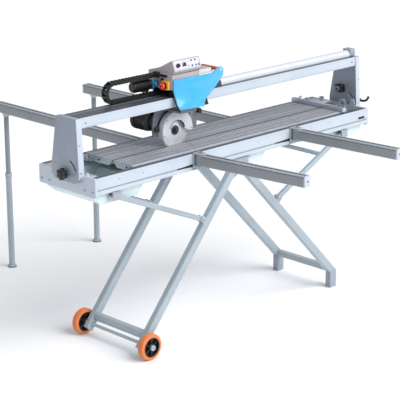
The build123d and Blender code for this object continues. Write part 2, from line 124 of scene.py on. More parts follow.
class Shape:
    """Shells gathered in one mesh. Faces made by rounding an edge are marked in the attribute "edge"."""

    def __init__(self):
        self.whole = bmesh.new()

    def begin(self):
        """Starts the next solid in a mesh of its own."""
        self.bm = bmesh.new()

    def end(self, put):
        """Places the solid and adds it to those before it."""
        self.edge_mark()
        if put is not None:
            bmesh.ops.transform(self.bm, matrix=put, verts=self.bm.verts)
        solid = bpy.data.meshes.new("solid")
        self.bm.to_mesh(solid)
        self.bm.free()
        self.whole.from_mesh(solid)
        bpy.data.meshes.remove(solid)
        return self

    def edge_mark(self):
        """The face attribute that marks rounded edges."""
        layers = self.bm.faces.layers.float
        return layers.get("edge") or layers.new("edge")

    def soften(self, size, steps=2, angle=SHARP):
        """Rounds every edge that turns by more than the angle."""
        if size <= 0:
            return
        mark = self.edge_mark()
        self.bm.normal_update()
        sharp = [e for e in self.bm.edges if len(e.link_faces) == 2 and e.calc_face_angle(0.0) > angle]
        made = bmesh.ops.bevel(self.bm, geom=sharp, offset=size, offset_type="OFFSET", affect="EDGES",
                               segments=steps, profile=0.5, material=-1, clamp_overlap=True)
        for face in made["faces"]:
            face[mark] = 1.0

    def block(self, x0, x1, y0, y1, z0, z1, size=1.0, put=None, steps=2):
        """Box between two corners, its edges rounded by size."""
        self.begin()
        made = bmesh.ops.create_cube(self.bm, size=1)["verts"]
        shape = Matrix.Translation(((x0 + x1) / 2, (y0 + y1) / 2, (z0 + z1) / 2)) \
            @ Matrix.Diagonal((x1 - x0, y1 - y0, z1 - z0, 1))
        bmesh.ops.transform(self.bm, matrix=shape, verts=made)
        self.soften(size, steps)
        return self.end(put)

    def rod(self, axis, a, b, radius, p, q, size=0.6, sides=32, tip=None, put=None):
        """Round bar from a to b, tapering to the radius tip where one is given."""
        self.begin()
        made = bmesh.ops.create_cone(self.bm, cap_ends=True, cap_tris=False, segments=sides, radius1=radius,
                                     radius2=radius if tip is None else tip, depth=b - a)["verts"]
        bmesh.ops.transform(self.bm, matrix=axis_place(axis, (a + b) / 2, p, q), verts=made)
        self.soften(size, 2, math.radians(50))
        return self.end(put)

    def turned(self, axis, outline, p, q, sides=48, angle=math.tau, start=0.0, put=None):
        """Outline of (distance along the axis, radius) spun about it; one ending on the axis is open."""
        self.begin()
        verts = [self.bm.verts.new((radius, 0, along)) for along, radius in outline]
        if angle < math.tau:
            self.bm.faces.new(verts)
            geom = [item for vert in verts for item in (vert, *vert.link_edges, *vert.link_faces)]
        else:
            pairs = list(zip(verts, verts[1:] + verts[:1]))
            if outline[-1][1] <= 0:
                pairs.pop()
            geom = verts + [self.bm.edges.new(pair) for pair in pairs]
        bmesh.ops.spin(self.bm, geom=list(dict.fromkeys(geom)), cent=(0, 0, 0), axis=(0, 0, 1), angle=angle,
                       steps=sides, use_merge=angle >= math.tau)
        bmesh.ops.remove_doubles(self.bm, verts=self.bm.verts, dist=1e-4)
        turn = axis_place(axis, 0, p, q) @ Matrix.Rotation(start, 4, "Z")
        bmesh.ops.transform(self.bm, matrix=turn, verts=self.bm.verts)
        return self.end(put)

    def prism(self, plane, points, a, b, size=1.0, steps=2, put=None):
        """Outline drawn in a plane and pulled from a to b; points are in X, Y, Z order without the third."""
        self.begin()
        place = {"xz": lambda u, v: (u, a, v), "yz": lambda u, v: (a, u, v), "xy": lambda u,
                 v: (u, v, a)}[plane]
        face = self.bm.faces.new([self.bm.verts.new(place(u, v)) for u, v in points])
        pulled = bmesh.ops.extrude_face_region(self.bm, geom=[face])["geom"]
        step = {"xz": (0, b - a, 0), "yz": (b - a, 0, 0), "xy": (0, 0, b - a)}[plane]
        bmesh.ops.translate(self.bm, vec=step, verts=[
                                                      v for v in pulled if isinstance(v, bmesh.types.BMVert)])
        self.soften(size, steps)
        return self.end(put)

    def pipe(self, points, radius, sides=16):
        """Round pipe through points: a circle at each, bridged in turn, with capped ends."""
        self.begin()
        path = [Vector(p) for p in points]
        rings = []
        for k, at in enumerate(path):
            heading = (path[min(k + 1, len(path) - 1)] - path[max(k - 1, 0)]).normalized()
            put = Matrix.Translation(at) @ heading.to_track_quat("Z", "Y").to_matrix().to_4x4()
            ring = bmesh.ops.create_circle(self.bm, segments=sides, radius=radius,
                                           cap_ends=k in (0, len(path) - 1))
            bmesh.ops.transform(self.bm, matrix=put, verts=ring["verts"])
            rings.append(list({e for v in ring["verts"] for e in v.link_edges}))
        for first, second in zip(rings, rings[1:]):
            bmesh.ops.bridge_loops(self.bm, edges=first + second)
        return self.end(None)

    def from_node(self, node, size, steps=2, angle=SHARP):
        """A merged copy of a CAD node with its flat faces whole and its edges rounded."""
        self.begin()
        self.bm.from_mesh(frame["nodes"][node].data)
        bmesh.ops.transform(self.bm, matrix=TO_FRAME.inverted(), verts=self.bm.verts)
        bmesh.ops.remove_doubles(self.bm, verts=self.bm.verts, dist=0.01)
        bmesh.ops.dissolve_limit(self.bm, angle_limit=math.radians(0.5), use_dissolve_boundaries=False,
                                 verts=self.bm.verts, edges=self.bm.edges)
        self.soften(size, steps, angle)
        return self.end(None)


def piece(name, shape, body, material, replaces=(), up=None, blend=None):
    """Turns a shape into an object of the saw: placed, shaded, painted and riding on its body.

    material and up name finishes; up, where given, is the one on faces that look upwards. On the rails, beam,
    table planks and tray the two are a lit and a shaded copy of a surface, so light and shade are painted by which
    way a face looks.
    """
    bm = shape.whole
    bmesh.ops.transform(bm, matrix=TO_FRAME, verts=bm.verts)
    bmesh.ops.recalc_face_normals(bm, faces=bm.faces)
    for face in bm.faces:
        face.smooth = True
        # Upward faces take the second finish; on the rails, beam, planks and tray this paints light or shade by
        # facing.
        if up is not None and face.normal.z > 0.9:
            face.material_index = 1
    mesh = bpy.data.meshes.new(name)
    bm.to_mesh(mesh)
    bm.free()
    mesh.set_sharp_from_angle(angle=SHARP)
    for coat in (material, up):
        if coat is not None:
            mesh.materials.append(bpy.data.materials[coat])
    made = bpy.data.objects.new(name, mesh)
    bpy.context.scene.collection.objects.link(made)
    if blend:
        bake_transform(made, *blend)
    else:
        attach(made, body)
    if replaces:
        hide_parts(*replaces)
    return made


def rounded(name, node, size, body, material, steps=2):
    """A piece that is a CAD node with its edges rounded."""
    return piece(name, Shape().from_node(node, size, steps), body, material, [node])


# ---- finishes ----

def add(tree, kind, inputs=None, **settings):
    """Adds a shader node with its settings; an input is a value or another node's socket."""
    made = tree.nodes.new(kind)
    for key, value in settings.items():
        setattr(made, key, value)
    for key, value in (inputs or {}).items():
        if isinstance(value, bpy.types.NodeSocket):
            tree.links.new(value, made.inputs[key])
        else:
            made.inputs[key].default_value = value
    return made


def cloud(tree, sizes, detail=2.0):
    """Noise whose blotches are this many millimetres along X, Y and Z of the saw."""
    where = add(tree, "ShaderNodeTexCoord").outputs["Object"]
    scaled = add(tree, "ShaderNodeMapping", {"Vector": where,
                                             "Scale": tuple(1 / (MILLI * s) for s in sizes)})
    return add(tree, "ShaderNodeTexNoise", {"Vector": scaled.outputs[0], "Scale": 1.0,
                                            "Detail": detail}).outputs[0]


def spread(tree, value, low, high):
    """Stretches the middle of a noise value to run from low to high."""
    return add(tree, "ShaderNodeMapRange", {"Value": value, "From Min": 0.3, "From Max": 0.7, "To Min": low,
                                            "To Max": high}).outputs[0]


def finish(name, colour, rough, metal=0.0, grain=(2.0, 2.0, 2.0), depth=0.1, vary=0.06, blotch=140.0,
           worn=None, rough_vary=0.06, **shader):
    """A surface with drifting tone and gloss, a fine relief and, where worn is a colour, rubbed edges.

    grain is the relief's size in millimetres along X, Y and Z, and depth its height in millimetres.
    """
    material = bpy.data.materials.new(name)
    material.use_nodes = True
    tree = material.node_tree
    shade = tree.nodes["Principled BSDF"]
    base = linear(colour) if isinstance(colour, str) else tuple(colour)
    dark, light = (tuple(min(1.0, c * k) for c in base[:3]) + (1.0,) for k in (1 - vary, 1 + vary))
    drift = spread(tree, cloud(tree, (blotch,) * 3, 3.0), 0.0, 1.0)
    tone = add(tree, "ShaderNodeMix", {"Factor": drift}, data_type="RGBA")
    for side, value in zip((s for s in tone.inputs if s.type == "RGBA"), (dark, light)):
        side.default_value = value
    skin = [s for s in tone.outputs if s.type == "RGBA"][0]
    relief = cloud(tree, grain, 2.0)
    if worn:
        edge = add(tree, "ShaderNodeAttribute", attribute_name="edge").outputs["Fac"]
        chips = spread(tree, cloud(tree, (9.0, 9.0, 9.0), 4.0), -0.4, 1.0)
        rub = add(tree, "ShaderNodeMath", {0: edge, 1: chips}, operation="MULTIPLY",
                  use_clamp=True).outputs[0]
        bare = add(tree, "ShaderNodeMix", {"Factor": rub}, data_type="RGBA")
        sides = [s for s in bare.inputs if s.type == "RGBA"]
        tree.links.new(skin, sides[0])
        sides[1].default_value = linear(worn)
        skin = [s for s in bare.outputs if s.type == "RGBA"][0]
    tree.links.new(skin, shade.inputs["Base Color"])
    gloss = spread(tree, cloud(tree, (blotch / 3,) * 3, 3.0), rough - rough_vary, rough + rough_vary)
    tree.links.new(gloss, shade.inputs["Roughness"])
    shade.inputs["Metallic"].default_value = metal
    for key, value in shader.items():
        shade.inputs[key.replace("_", " ")].default_value = value
    bump = add(tree, "ShaderNodeBump", {"Height": relief, "Strength": 0.5, "Distance": depth * MILLI})
    tree.links.new(bump.outputs[0], shade.inputs["Normal"])
    return material


def make_finishes(colours):
    """Every finish of the saw, each named for the real surface."""
    # Powder coat on steel: baked powder leaves a soft orange peel of about 2 mm, rubbed bright on edges.
    finish("powder_coat_pale", colours.paint, 0.34, depth=0.06, vary=0.03, worn="C9CED8", Coat_Weight=0.15)
    finish("powder_coat_grey", colours.tower, 0.40, depth=0.08, vary=0.04, worn="A9AFB8")
    finish("powder_coat_silver", colours.leg, 0.36, depth=0.08, vary=0.06, worn="C4CBD0", Coat_Weight=0.1)
    finish("powder_coat_arm", "888E92", 0.40, depth=0.08, vary=0.06, worn="B4BABF")
    finish("powder_coat_guard", "CBD3DC", 0.32, depth=0.06, vary=0.03, worn="DDE2E8", Coat_Weight=0.2)
    # The spindle plate's paint is its grey darkened partly by painted shade of the carriage above it.
    finish("plate_paint_and_painted_shade", "74777F", 0.42, depth=0.10, vary=0.06, worn="C4C8CE")
    # Mill-finished aluminium extrusion: drawn lines run with the die along X, dulled by water and stone dust.
    # The real lines are about 0.1 mm apart and are drawn 1.2 mm apart so that they show.
    finish("drawn_aluminium", "8F9098", 0.42, metal=0.55, grain=DIE_LINES, depth=0.01, vary=0.05,
           blotch=160.0, rough_vary=0.08)
    # The same extrusions anodised. The dark one is painted shade: it darkens the upward faces of the rails and
    # beam. The bright one is bright on bars and is painted highlight on the table's groove walls and chamfers. The
    # palest is on the duct.
    finish("painted_shade_dark_top", "5C5D65", 0.44, metal=0.35, grain=DIE_LINES, depth=0.01, vary=0.08,
           blotch=160.0)
    finish("anodised_bright_and_highlight", "BFC5CE", 0.30, metal=0.35, grain=DIE_LINES, depth=0.01, vary=0.05)
    finish("anodised_duct", "DDE2E8", 0.30, metal=0.25, grain=DIE_LINES, depth=0.01, vary=0.03)
    # Phosphated steel: the dull grey-black of a hardened arbor, with the cloudy bloom of the bath.
    finish("phosphated_steel", "55565C", 0.42, metal=0.8, grain=MOULD_GRAIN, depth=0.02, vary=0.12,
           blotch=18.0)
    # Zinc-plated steel: bright, slightly blue, with the cloudy bloom that plating leaves.
    finish("zinc_plate", "B4B8C0", 0.32, metal=0.9, grain=MOULD_GRAIN, depth=0.03, vary=0.10, blotch=18.0)
    # Vacuum-formed polystyrene tray: pale and even, with a satin sheet surface.
    finish("formed_tray", colours.tray, 0.38, grain=PEBBLE, depth=0.06, vary=0.03)
    # The tray's floor is the same sheet in a lighter, warmer tone; the lightness is painted light on the shaded
    # floor.
    finish("tray_floor_painted_light", "F6F6EA", 0.38, grain=PEBBLE, depth=0.06, vary=0.03)
    # Moulded ABS: spark-eroded grain of about half a millimetre, drawn at 1 mm.
    finish("abs_console", colours.console, 0.52, grain=MOULD_GRAIN, depth=0.03, vary=0.03)
    finish("abs_band", "D3C8C6", 0.48, grain=MOULD_GRAIN, depth=0.05, vary=0.03)
    finish("abs_black", "17171A", 0.45, grain=MOULD_GRAIN, depth=0.06, vary=0.12, worn="3A3A3E")
    # Glass-filled nylon links: near black, with a dull bloom.
    finish("nylon_chain", "0E0E10", 0.48, grain=(1.2, 1.2, 1.2), depth=0.04, vary=0.2)
    # Printed polyester film, and keys moulded in silicone and acrylic: smooth, with hardly any grain.
    finish("film_panel", "D5D3E6", 0.35, grain=(0.8, 0.8, 0.8), depth=0.02, vary=0.02, Coat_Weight=0.3)
    finish("key_caps", "4A5078", 0.35, grain=(0.8, 0.8, 0.8), depth=0.03, vary=0.05)
    finish("key_white", "EDEDF2", 0.30, grain=(0.8, 0.8, 0.8), depth=0.02, vary=0.02)
    # Tinted acrylic window: dark, and smooth enough to mirror.
    finish("display_glass", "26302F", 0.12, grain=(4.0, 4.0, 4.0), depth=0.01, vary=0.1, Coat_Weight=0.8)
    # Gloss enamel on pressed steel: wet-looking, its edges chipped to the pale primer.
    finish("enamel_blue", colours.cover, 0.24, depth=0.05, vary=0.05, worn="8CCBF0", Coat_Weight=0.45)
    finish("enamel_teal", "2E86A8", 0.35, depth=0.06, vary=0.06)
    # Black enamel over sand-cast aluminium: the casting's 3 mm pebble shows through.
    finish("cast_black", "141214", 0.42, grain=PEBBLE, depth=0.25, vary=0.18, worn="3C393C")
    finish("cast_maroon", "3A0F12", 0.36, grain=PEBBLE, depth=0.2, vary=0.15)
    # Glossy polypropylene of the stop button and its box.
    finish("stop_yellow", "F4B93A", 0.34, grain=MOULD_GRAIN, depth=0.02, vary=0.03)
    finish("stop_red", "E4352F", 0.28, grain=MOULD_GRAIN, depth=0.02, vary=0.03, Coat_Weight=0.3)
    # Soft thermoplastic grip and cast polyurethane tyres: matt and slightly scuffed.
    finish("grip_rubber", colours.grip, 0.58, grain=(1.5, 1.5, 1.5), depth=0.10, vary=0.06)
    finish("polyurethane_tyre", colours.tyre, 0.50, grain=(2.5, 2.5, 2.5), depth=0.15, vary=0.07,
           blotch=30.0)
    finish("black_rubber", "1B1B1D", 0.62, grain=(1.5, 1.5, 1.5), depth=0.10, vary=0.15)
    # Clear PVC water pipe: bends light and shows pale edges.
    finish("clear_pvc", "E9F1F4", 0.10, grain=(6.0, 6.0, 6.0), depth=0.03, vary=0.01, rough_vary=0.03,
           Transmission_Weight=0.85, IOR=1.45)
    # Sintered diamond rim: gritty bronze grey. The 0.4 mm grit is drawn at 1.2 mm.
    finish("diamond_rim", "B9B3A6", 0.50, metal=0.5, grain=(1.2, 1.2, 1.2), depth=0.25, vary=0.18,
           blotch=4.0)
    # Dark strips in the table's channels: partly dried stone sludge, partly painted shade of the grooves; the
    # strip down the blade slot is painted shadow. Dark, matt and crumbly.
    finish("sludge_and_painted_shade", "3C3D42", 0.85, grain=PEBBLE, depth=0.3, vary=0.25, blotch=40.0)
    ground_steel()


def ground_steel():
    """Ground blade steel: turning marks run in circles about the arbor, so gloss stretches across them."""
    material = finish("ground_steel", "E6E8EC", 0.30, metal=0.6, depth=0.02, vary=0.04, blotch=40.0)
    tree = material.node_tree
    shade = tree.nodes["Principled BSDF"]
    middle = TO_FRAME @ node_centre("blade")
    where = add(tree, "ShaderNodeTexCoord").outputs["Object"]
    centred = add(tree, "ShaderNodeVectorMath", {0: where, 1: (-middle.x, 0.0, -middle.z)}, operation="ADD")
    flat = add(tree, "ShaderNodeVectorMath", {0: centred.outputs[0], 1: (1.0, 0.0, 1.0)},
               operation="MULTIPLY")
    radius = add(tree, "ShaderNodeVectorMath", {0: flat.outputs[0]}, operation="LENGTH").outputs["Value"]
    mark = 1.5      # millimetres between the turning marks that show
    lines = add(tree, "ShaderNodeTexNoise", {"W": radius, "Scale": 1 / (MILLI * mark)},
                noise_dimensions="1D")
    bump = add(tree, "ShaderNodeBump", {"Height": lines.outputs[0], "Strength": 0.4,
                                        "Distance": 0.05 * MILLI})
    tree.links.new(bump.outputs[0], shade.inputs["Normal"])


# ---- settings ----

def colour_setting(code, name, description):
    """A colour property whose default is an sRGB hex value."""
    return bpy.props.FloatVectorProperty(name=name, description=description, subtype="COLOR", size=4,
                                         min=0.0, max=1.0, default=linear(code))


def length_setting(value, name, description):
    """A length property in millimetres."""
    return bpy.props.FloatProperty(name=name, description=description + ", in millimetres", default=value,
                                   min=0.0)


class TILESAW_PG_colours(bpy.types.PropertyGroup):
    paint: colour_setting("BCC6D1", "Base paint", "Powder coat of the base and beam")
    tower: colour_setting("939DAA", "Tower paint", "Powder coat of the towers")
    leg: colour_setting("A0ACB4", "Stand paint", "Powder coat of the legs and arms")
    tray: colour_setting("D6E6EA", "Tray", "Plastic of the water tray")
    console: colour_setting("AEA9AC", "Console", "Plastic of the console")
    cover: colour_setting("3FABDC", "Cover", "Enamel of the head's front cover")
    grip: colour_setting("D9722F", "Grip", "Rubber of the handle")
    tyre: colour_setting("DB7B42", "Tyres", "Polyurethane of the wheels")


class TILESAW_PG_sizes(bpy.types.PropertyGroup):
    rib_pitch: length_setting(6.0, "Rib pitch", "Distance between the lines on the table")
    link_pitch: length_setting(21.0, "Link pitch", "Length of a link of the energy chain")
    casting_round: length_setting(1.2, "Casting round", "Radius along the edges of cast and welded pieces")
    sheet_round: length_setting(0.6, "Sheet round", "Radius along the edges of sheet metal")
    moulding_round: length_setting(4.0, "Moulding round", "Radius along the console's edges")
    fin_pitch: length_setting(8.0, "Fin pitch", "Distance between the motors' cooling fins")
    spokes: bpy.props.IntProperty(name="Spokes", description="Spokes of a stand wheel", default=6, min=3,
                                  max=12)
    rim_segments: bpy.props.IntProperty(name="Rim segments", description="Diamond segments round the blade",
                                        default=20, min=8, max=40)


def socket_screw(shape, axis, seat, out, p, q, radius=4.0, height=3.0):
    """Head of a socket screw standing out of its seat; out is +1 or -1 along the axis."""
    outline = [(seat + out * height * h, radius * r) for h, r in ((0.35, 0.0), (0.35, 0.45), (1.0, 0.5),
            (1.0, 0.82), (0.72, 1.0), (-0.15, 1.0), (-0.15, 0.0))]
    shape.turned(axis, outline, p, q, sides=16)


def round_points(ring):
    """Points round a circle, one for each radius in the ring."""
    turns = [math.tau * k / len(ring) for k in range(len(ring))]
    return [(radius * math.cos(turn), radius * math.sin(turn)) for turn, radius in zip(turns, ring)]


def lobed(shape, axis, a, b, radius, p, q, lobes=6, depth=0.12, size=1.5):
    """Hand knob: a wavy outline pulled along its axis."""
    steps = lobes * 8
    ring = [radius * (1 - depth + depth * math.cos(math.tau * lobes * k / steps)) for k in range(steps)]
    shape.prism("xy", round_points(ring), a, b, size, put=axis_place(axis, 0, p, q))


# ---- base ----

class TILESAW_OT_base(bpy.types.Operator):
    """Extruded front and rear rails, cast end caps, cross members and the tools' grip slot"""
    bl_idname = "tilesaw.base"
    bl_label = "Base"

    def execute(self, context):
        sizes = context.scene.tilesaw_sizes
        low, high = span("base_front_rail")
        y, z0, z1, back = low.y, low.z, high.z, high.y
        groove0, groove1 = z0 + 20, z0 + 26
        front = [(back, z0), (back, z1), (y + 4, z1), (y, z1 - 3), (y, z1 - 11), (y + 0.9, z1 - 11.8),
                 (y + 0.9, z1 - 12.8), (y, z1 - 13.6), (y, groove1 + 1.2), (y + 1.2, groove1),
                 (y + 5, groove1), (y + 5, groove0), (y + 1.2, groove0), (y, groove0 - 1.2), (y, z0 + 3),
                 (y + 3, z0)]
        # The rail's upward faces take the dark anodised copy: painted shade on its top.
        piece("front_rail", Shape().prism("yz", front, low.x, high.x, 0), "frame",
              "powder_coat_pale", ["base_front_rail"], up="painted_shade_dark_top")
        low, high = span("base_rear_rail")
        rear = [(low.y, z0), (low.y, z1), (high.y - 4, z1), (high.y, z1 - 3), (high.y, z0 + 3),
                (high.y - 3, z0)]
        # The rail's upward faces take the dark anodised copy: painted shade on its top.
        piece("rear_rail", Shape().prism("yz", rear, low.x, high.x, 0), "frame",
              "powder_coat_pale", ["base_rear_rail"], up="painted_shade_dark_top")
        rounded("end_caps", "base_end_plates", 2.2, "frame", "powder_coat_pale")
        rounded("cross_members", "base_cross_members", sizes.casting_round, "frame",
                "zinc_plate")
        end = span("base_end_plates")[1].x
        slot = Shape().block(end - 78, end - 30, y - 1.5, y + 1, z0 + 31, z0 + 43, 1.2)
        for arm in ("front_arm_left", "front_arm_right"):
            x = self.pivot(arm) - 25
            wedge = [(x - 96, groove1), (x, groove1 + 5), (x, groove0 - 3), (x - 90, groove0 + 2)]
            slot.prism("xz", wedge, y - 1.2, y + 4, 0.5)
        piece("rail_inserts", slot, "frame", "abs_black")
        screws = Shape()
        for side in (-1, 1):
            for yy in (-172, -120, 120, 172):
                socket_screw(screws, "x", side * end, side, yy, z0 + 14, 5, 3.5)
        for x in (-780, -640, 100, 480, 620):
            socket_screw(screws, "y", y, -1, x, z1 - 24, 3.2, 1.6)
        piece("frame_screws", screws, "frame", "zinc_plate")
        return {"FINISHED"}

    @staticmethod
    def pivot(arm):
        """Machine X of a swing arm's pivot, read from its joint."""
        child = next(body for body, nodes in frame["record"]["behaviour"]["bodies"].items() if arm in nodes)
        return next(j["pos_m"][0] for j in frame["joints"] if j["child"] == child) / MILLI


class TILESAW_OT_tray(bpy.types.Operator):
    """Formed water tray with a rolled rim, drain caps and the pump in its left sump"""
    bl_idname = "tilesaw.tray"
    bl_label = "Water tray"

    def execute(self, context):
        low, high = span("water_tray")
        tray = Shape().from_node("water_tray", 0.9)
        for side in (-1, 1):
            y = side * (high.y - 1.0)
            tray.rod("x", low.x + 6, high.x - 6, 2.2, y, high.z - 2.2, 0.5, 12)
        # Upward faces take the lighter floor copy: painted light on the tray's floor.
        piece("formed_water_tray", tray, "frame", "formed_tray", ["water_tray"],
              up="tray_floor_painted_light")
        caps = Shape()
        for x in (45, 740):
            caps.turned("z", [(low.z - 5, 0), (low.z - 5, 12), (low.z - 3.5, 14), (low.z + 0.5, 14),
                              (low.z + 0.5, 0)], x, -60, 32)
            caps.block(x - 10, x + 10, -61.5, -58.5, low.z - 8, low.z - 4.5, 0.8)
        piece("drain_caps", caps, "frame", "abs_black")
        low, high = span("water_pump")
        mid = (low + high) / 2
        pump = Shape().block(low.x, high.x, low.y, high.y, low.z, high.z - 14, 5, steps=3)
        pump.rod("z", high.z - 15, high.z, 7, mid.x, mid.y, 0.8)
        for k in range(5):
            pump.block(low.x - 0.6, high.x + 0.6, low.y + 10, high.y - 10, low.z + 8 + 7 * k,
                       low.z + 11 + 7 * k, 0.5)
        piece("pump", pump, "frame", "formed_tray", ["water_pump"])
        return {"FINISHED"}


def ribbed(start, end, top, pitch):
    """Points across a plank's top: fine V lines, and channels whose lips are wide and narrow in turn."""
    way = 1 if end > start else -1
    points = []
    for k in range(1, int(abs(end - start) // pitch)):
        at = start + way * k * pitch
        if k % 4 == 0:
            wide, deep = (6.0, 2.1) if k % 8 == 0 else (3.2, 0.9)
            points += [(at - way * wide, top), (at - way * 2.0, top - deep), (at - way * 2.0, top - 2.5),
                       (at + way * 2.0, top - 2.5), (at + way * 2.0, top - deep), (at + way * wide, top)]
        elif k % 8 in (2, 6):
            points += [(at - way * 0.7, top), (at, top - 0.8), (at + way * 0.7, top)]
    return points


class TILESAW_OT_table(bpy.types.Operator):
    """Two ribbed aluminium planks either side of the blade slot, each with an end screw"""
    bl_idname = "tilesaw.table"
    bl_label = "Table planks"

    def execute(self, context):
        sizes = context.scene.tilesaw_sizes
        screws, sludge_and_shade = Shape(), Shape()
        for node, name in (("plank_front", "front_table_plank"), ("plank_rear", "rear_table_plank")):
            low, high = span(node)
            front = node == "plank_front"
            slot, outer, way = (high.y, low.y, -1) if front else (low.y, high.y, 1)
            z0, z1 = low.z, high.z
            lip = 3.0 if front else 0.6
            outline = [(outer, z0), (slot + way * 24, z0), (slot, z1 - 5), (slot, z1 - lip),
                       (slot + way * lip, z1), *ribbed(slot, outer, z1, sizes.rib_pitch),
                       (outer - way * 2, z1), (outer, z1 - 2)]
            # Groove walls and chamfers take the bright anodised copy as painted highlight; the upward tops take
            # the drawn finish.
            piece(name, Shape().prism("yz", outline, low.x, high.x, 0), "frame",
                  "anodised_bright_and_highlight", [node], up="drawn_aluminium")
            # Dark strips on the channel floors: stone sludge and painted shade of the grooves.
            for k in range(4, int((high.y - low.y) // sizes.rib_pitch), 4):
                at = slot + way * k * sizes.rib_pitch
                sludge_and_shade.block(low.x + 0.5, high.x - 0.5, at - 1.9, at + 1.9, z1 - 2.7, z1 - 2.15, 0.0)
            # Dark strip down the blade slot's wall: painted shadow in the slot.
            sludge_and_shade.block(low.x + 0.5, high.x - 0.5, *sorted((slot - way * 0.5, slot + way * 0.2)), z1 - 4.6,
                       z1 - lip - 0.2, 0.0)
            for x, out in ((low.x, -1), (high.x, 1)):
                for yy in (outer - way * 18, slot + way * 89):
                    socket_screw(screws, "x", x + out * 0.5, out, yy, z1 - 16, 4.6, 2.0)
        low, high = span("plank_rear")
        x, y, z = low.x, high.y - 42, high.z
        clamp = Shape().block(x - 46, x + 14, y - 16, y + 16, z - 27, z - 19, 1.5)
        clamp.block(x - 46, x - 30, y - 16, y + 16, z - 27, z - 4, 1.5)
        clamp.rod("z", z - 5, z + 9, 5, x - 38, y, 0.8, 24)
        clamp.pipe([(x - 38, y, z + 6), (x - 50, y - 14, z + 8), (x - 58, y - 34, z + 11)], 3.0, 14)
        clamp.rod("x", x - 62, x - 34, 4, y, z - 12, 0.5, 20)
        piece("plank_end_clamp", clamp, "frame", "zinc_plate")
        piece("channel_sludge_and_painted_shade", sludge_and_shade, "frame", "sludge_and_painted_shade")
        piece("table_screws", screws, "frame", "abs_black")
        return {"FINISHED"}


# ---- bridge ----

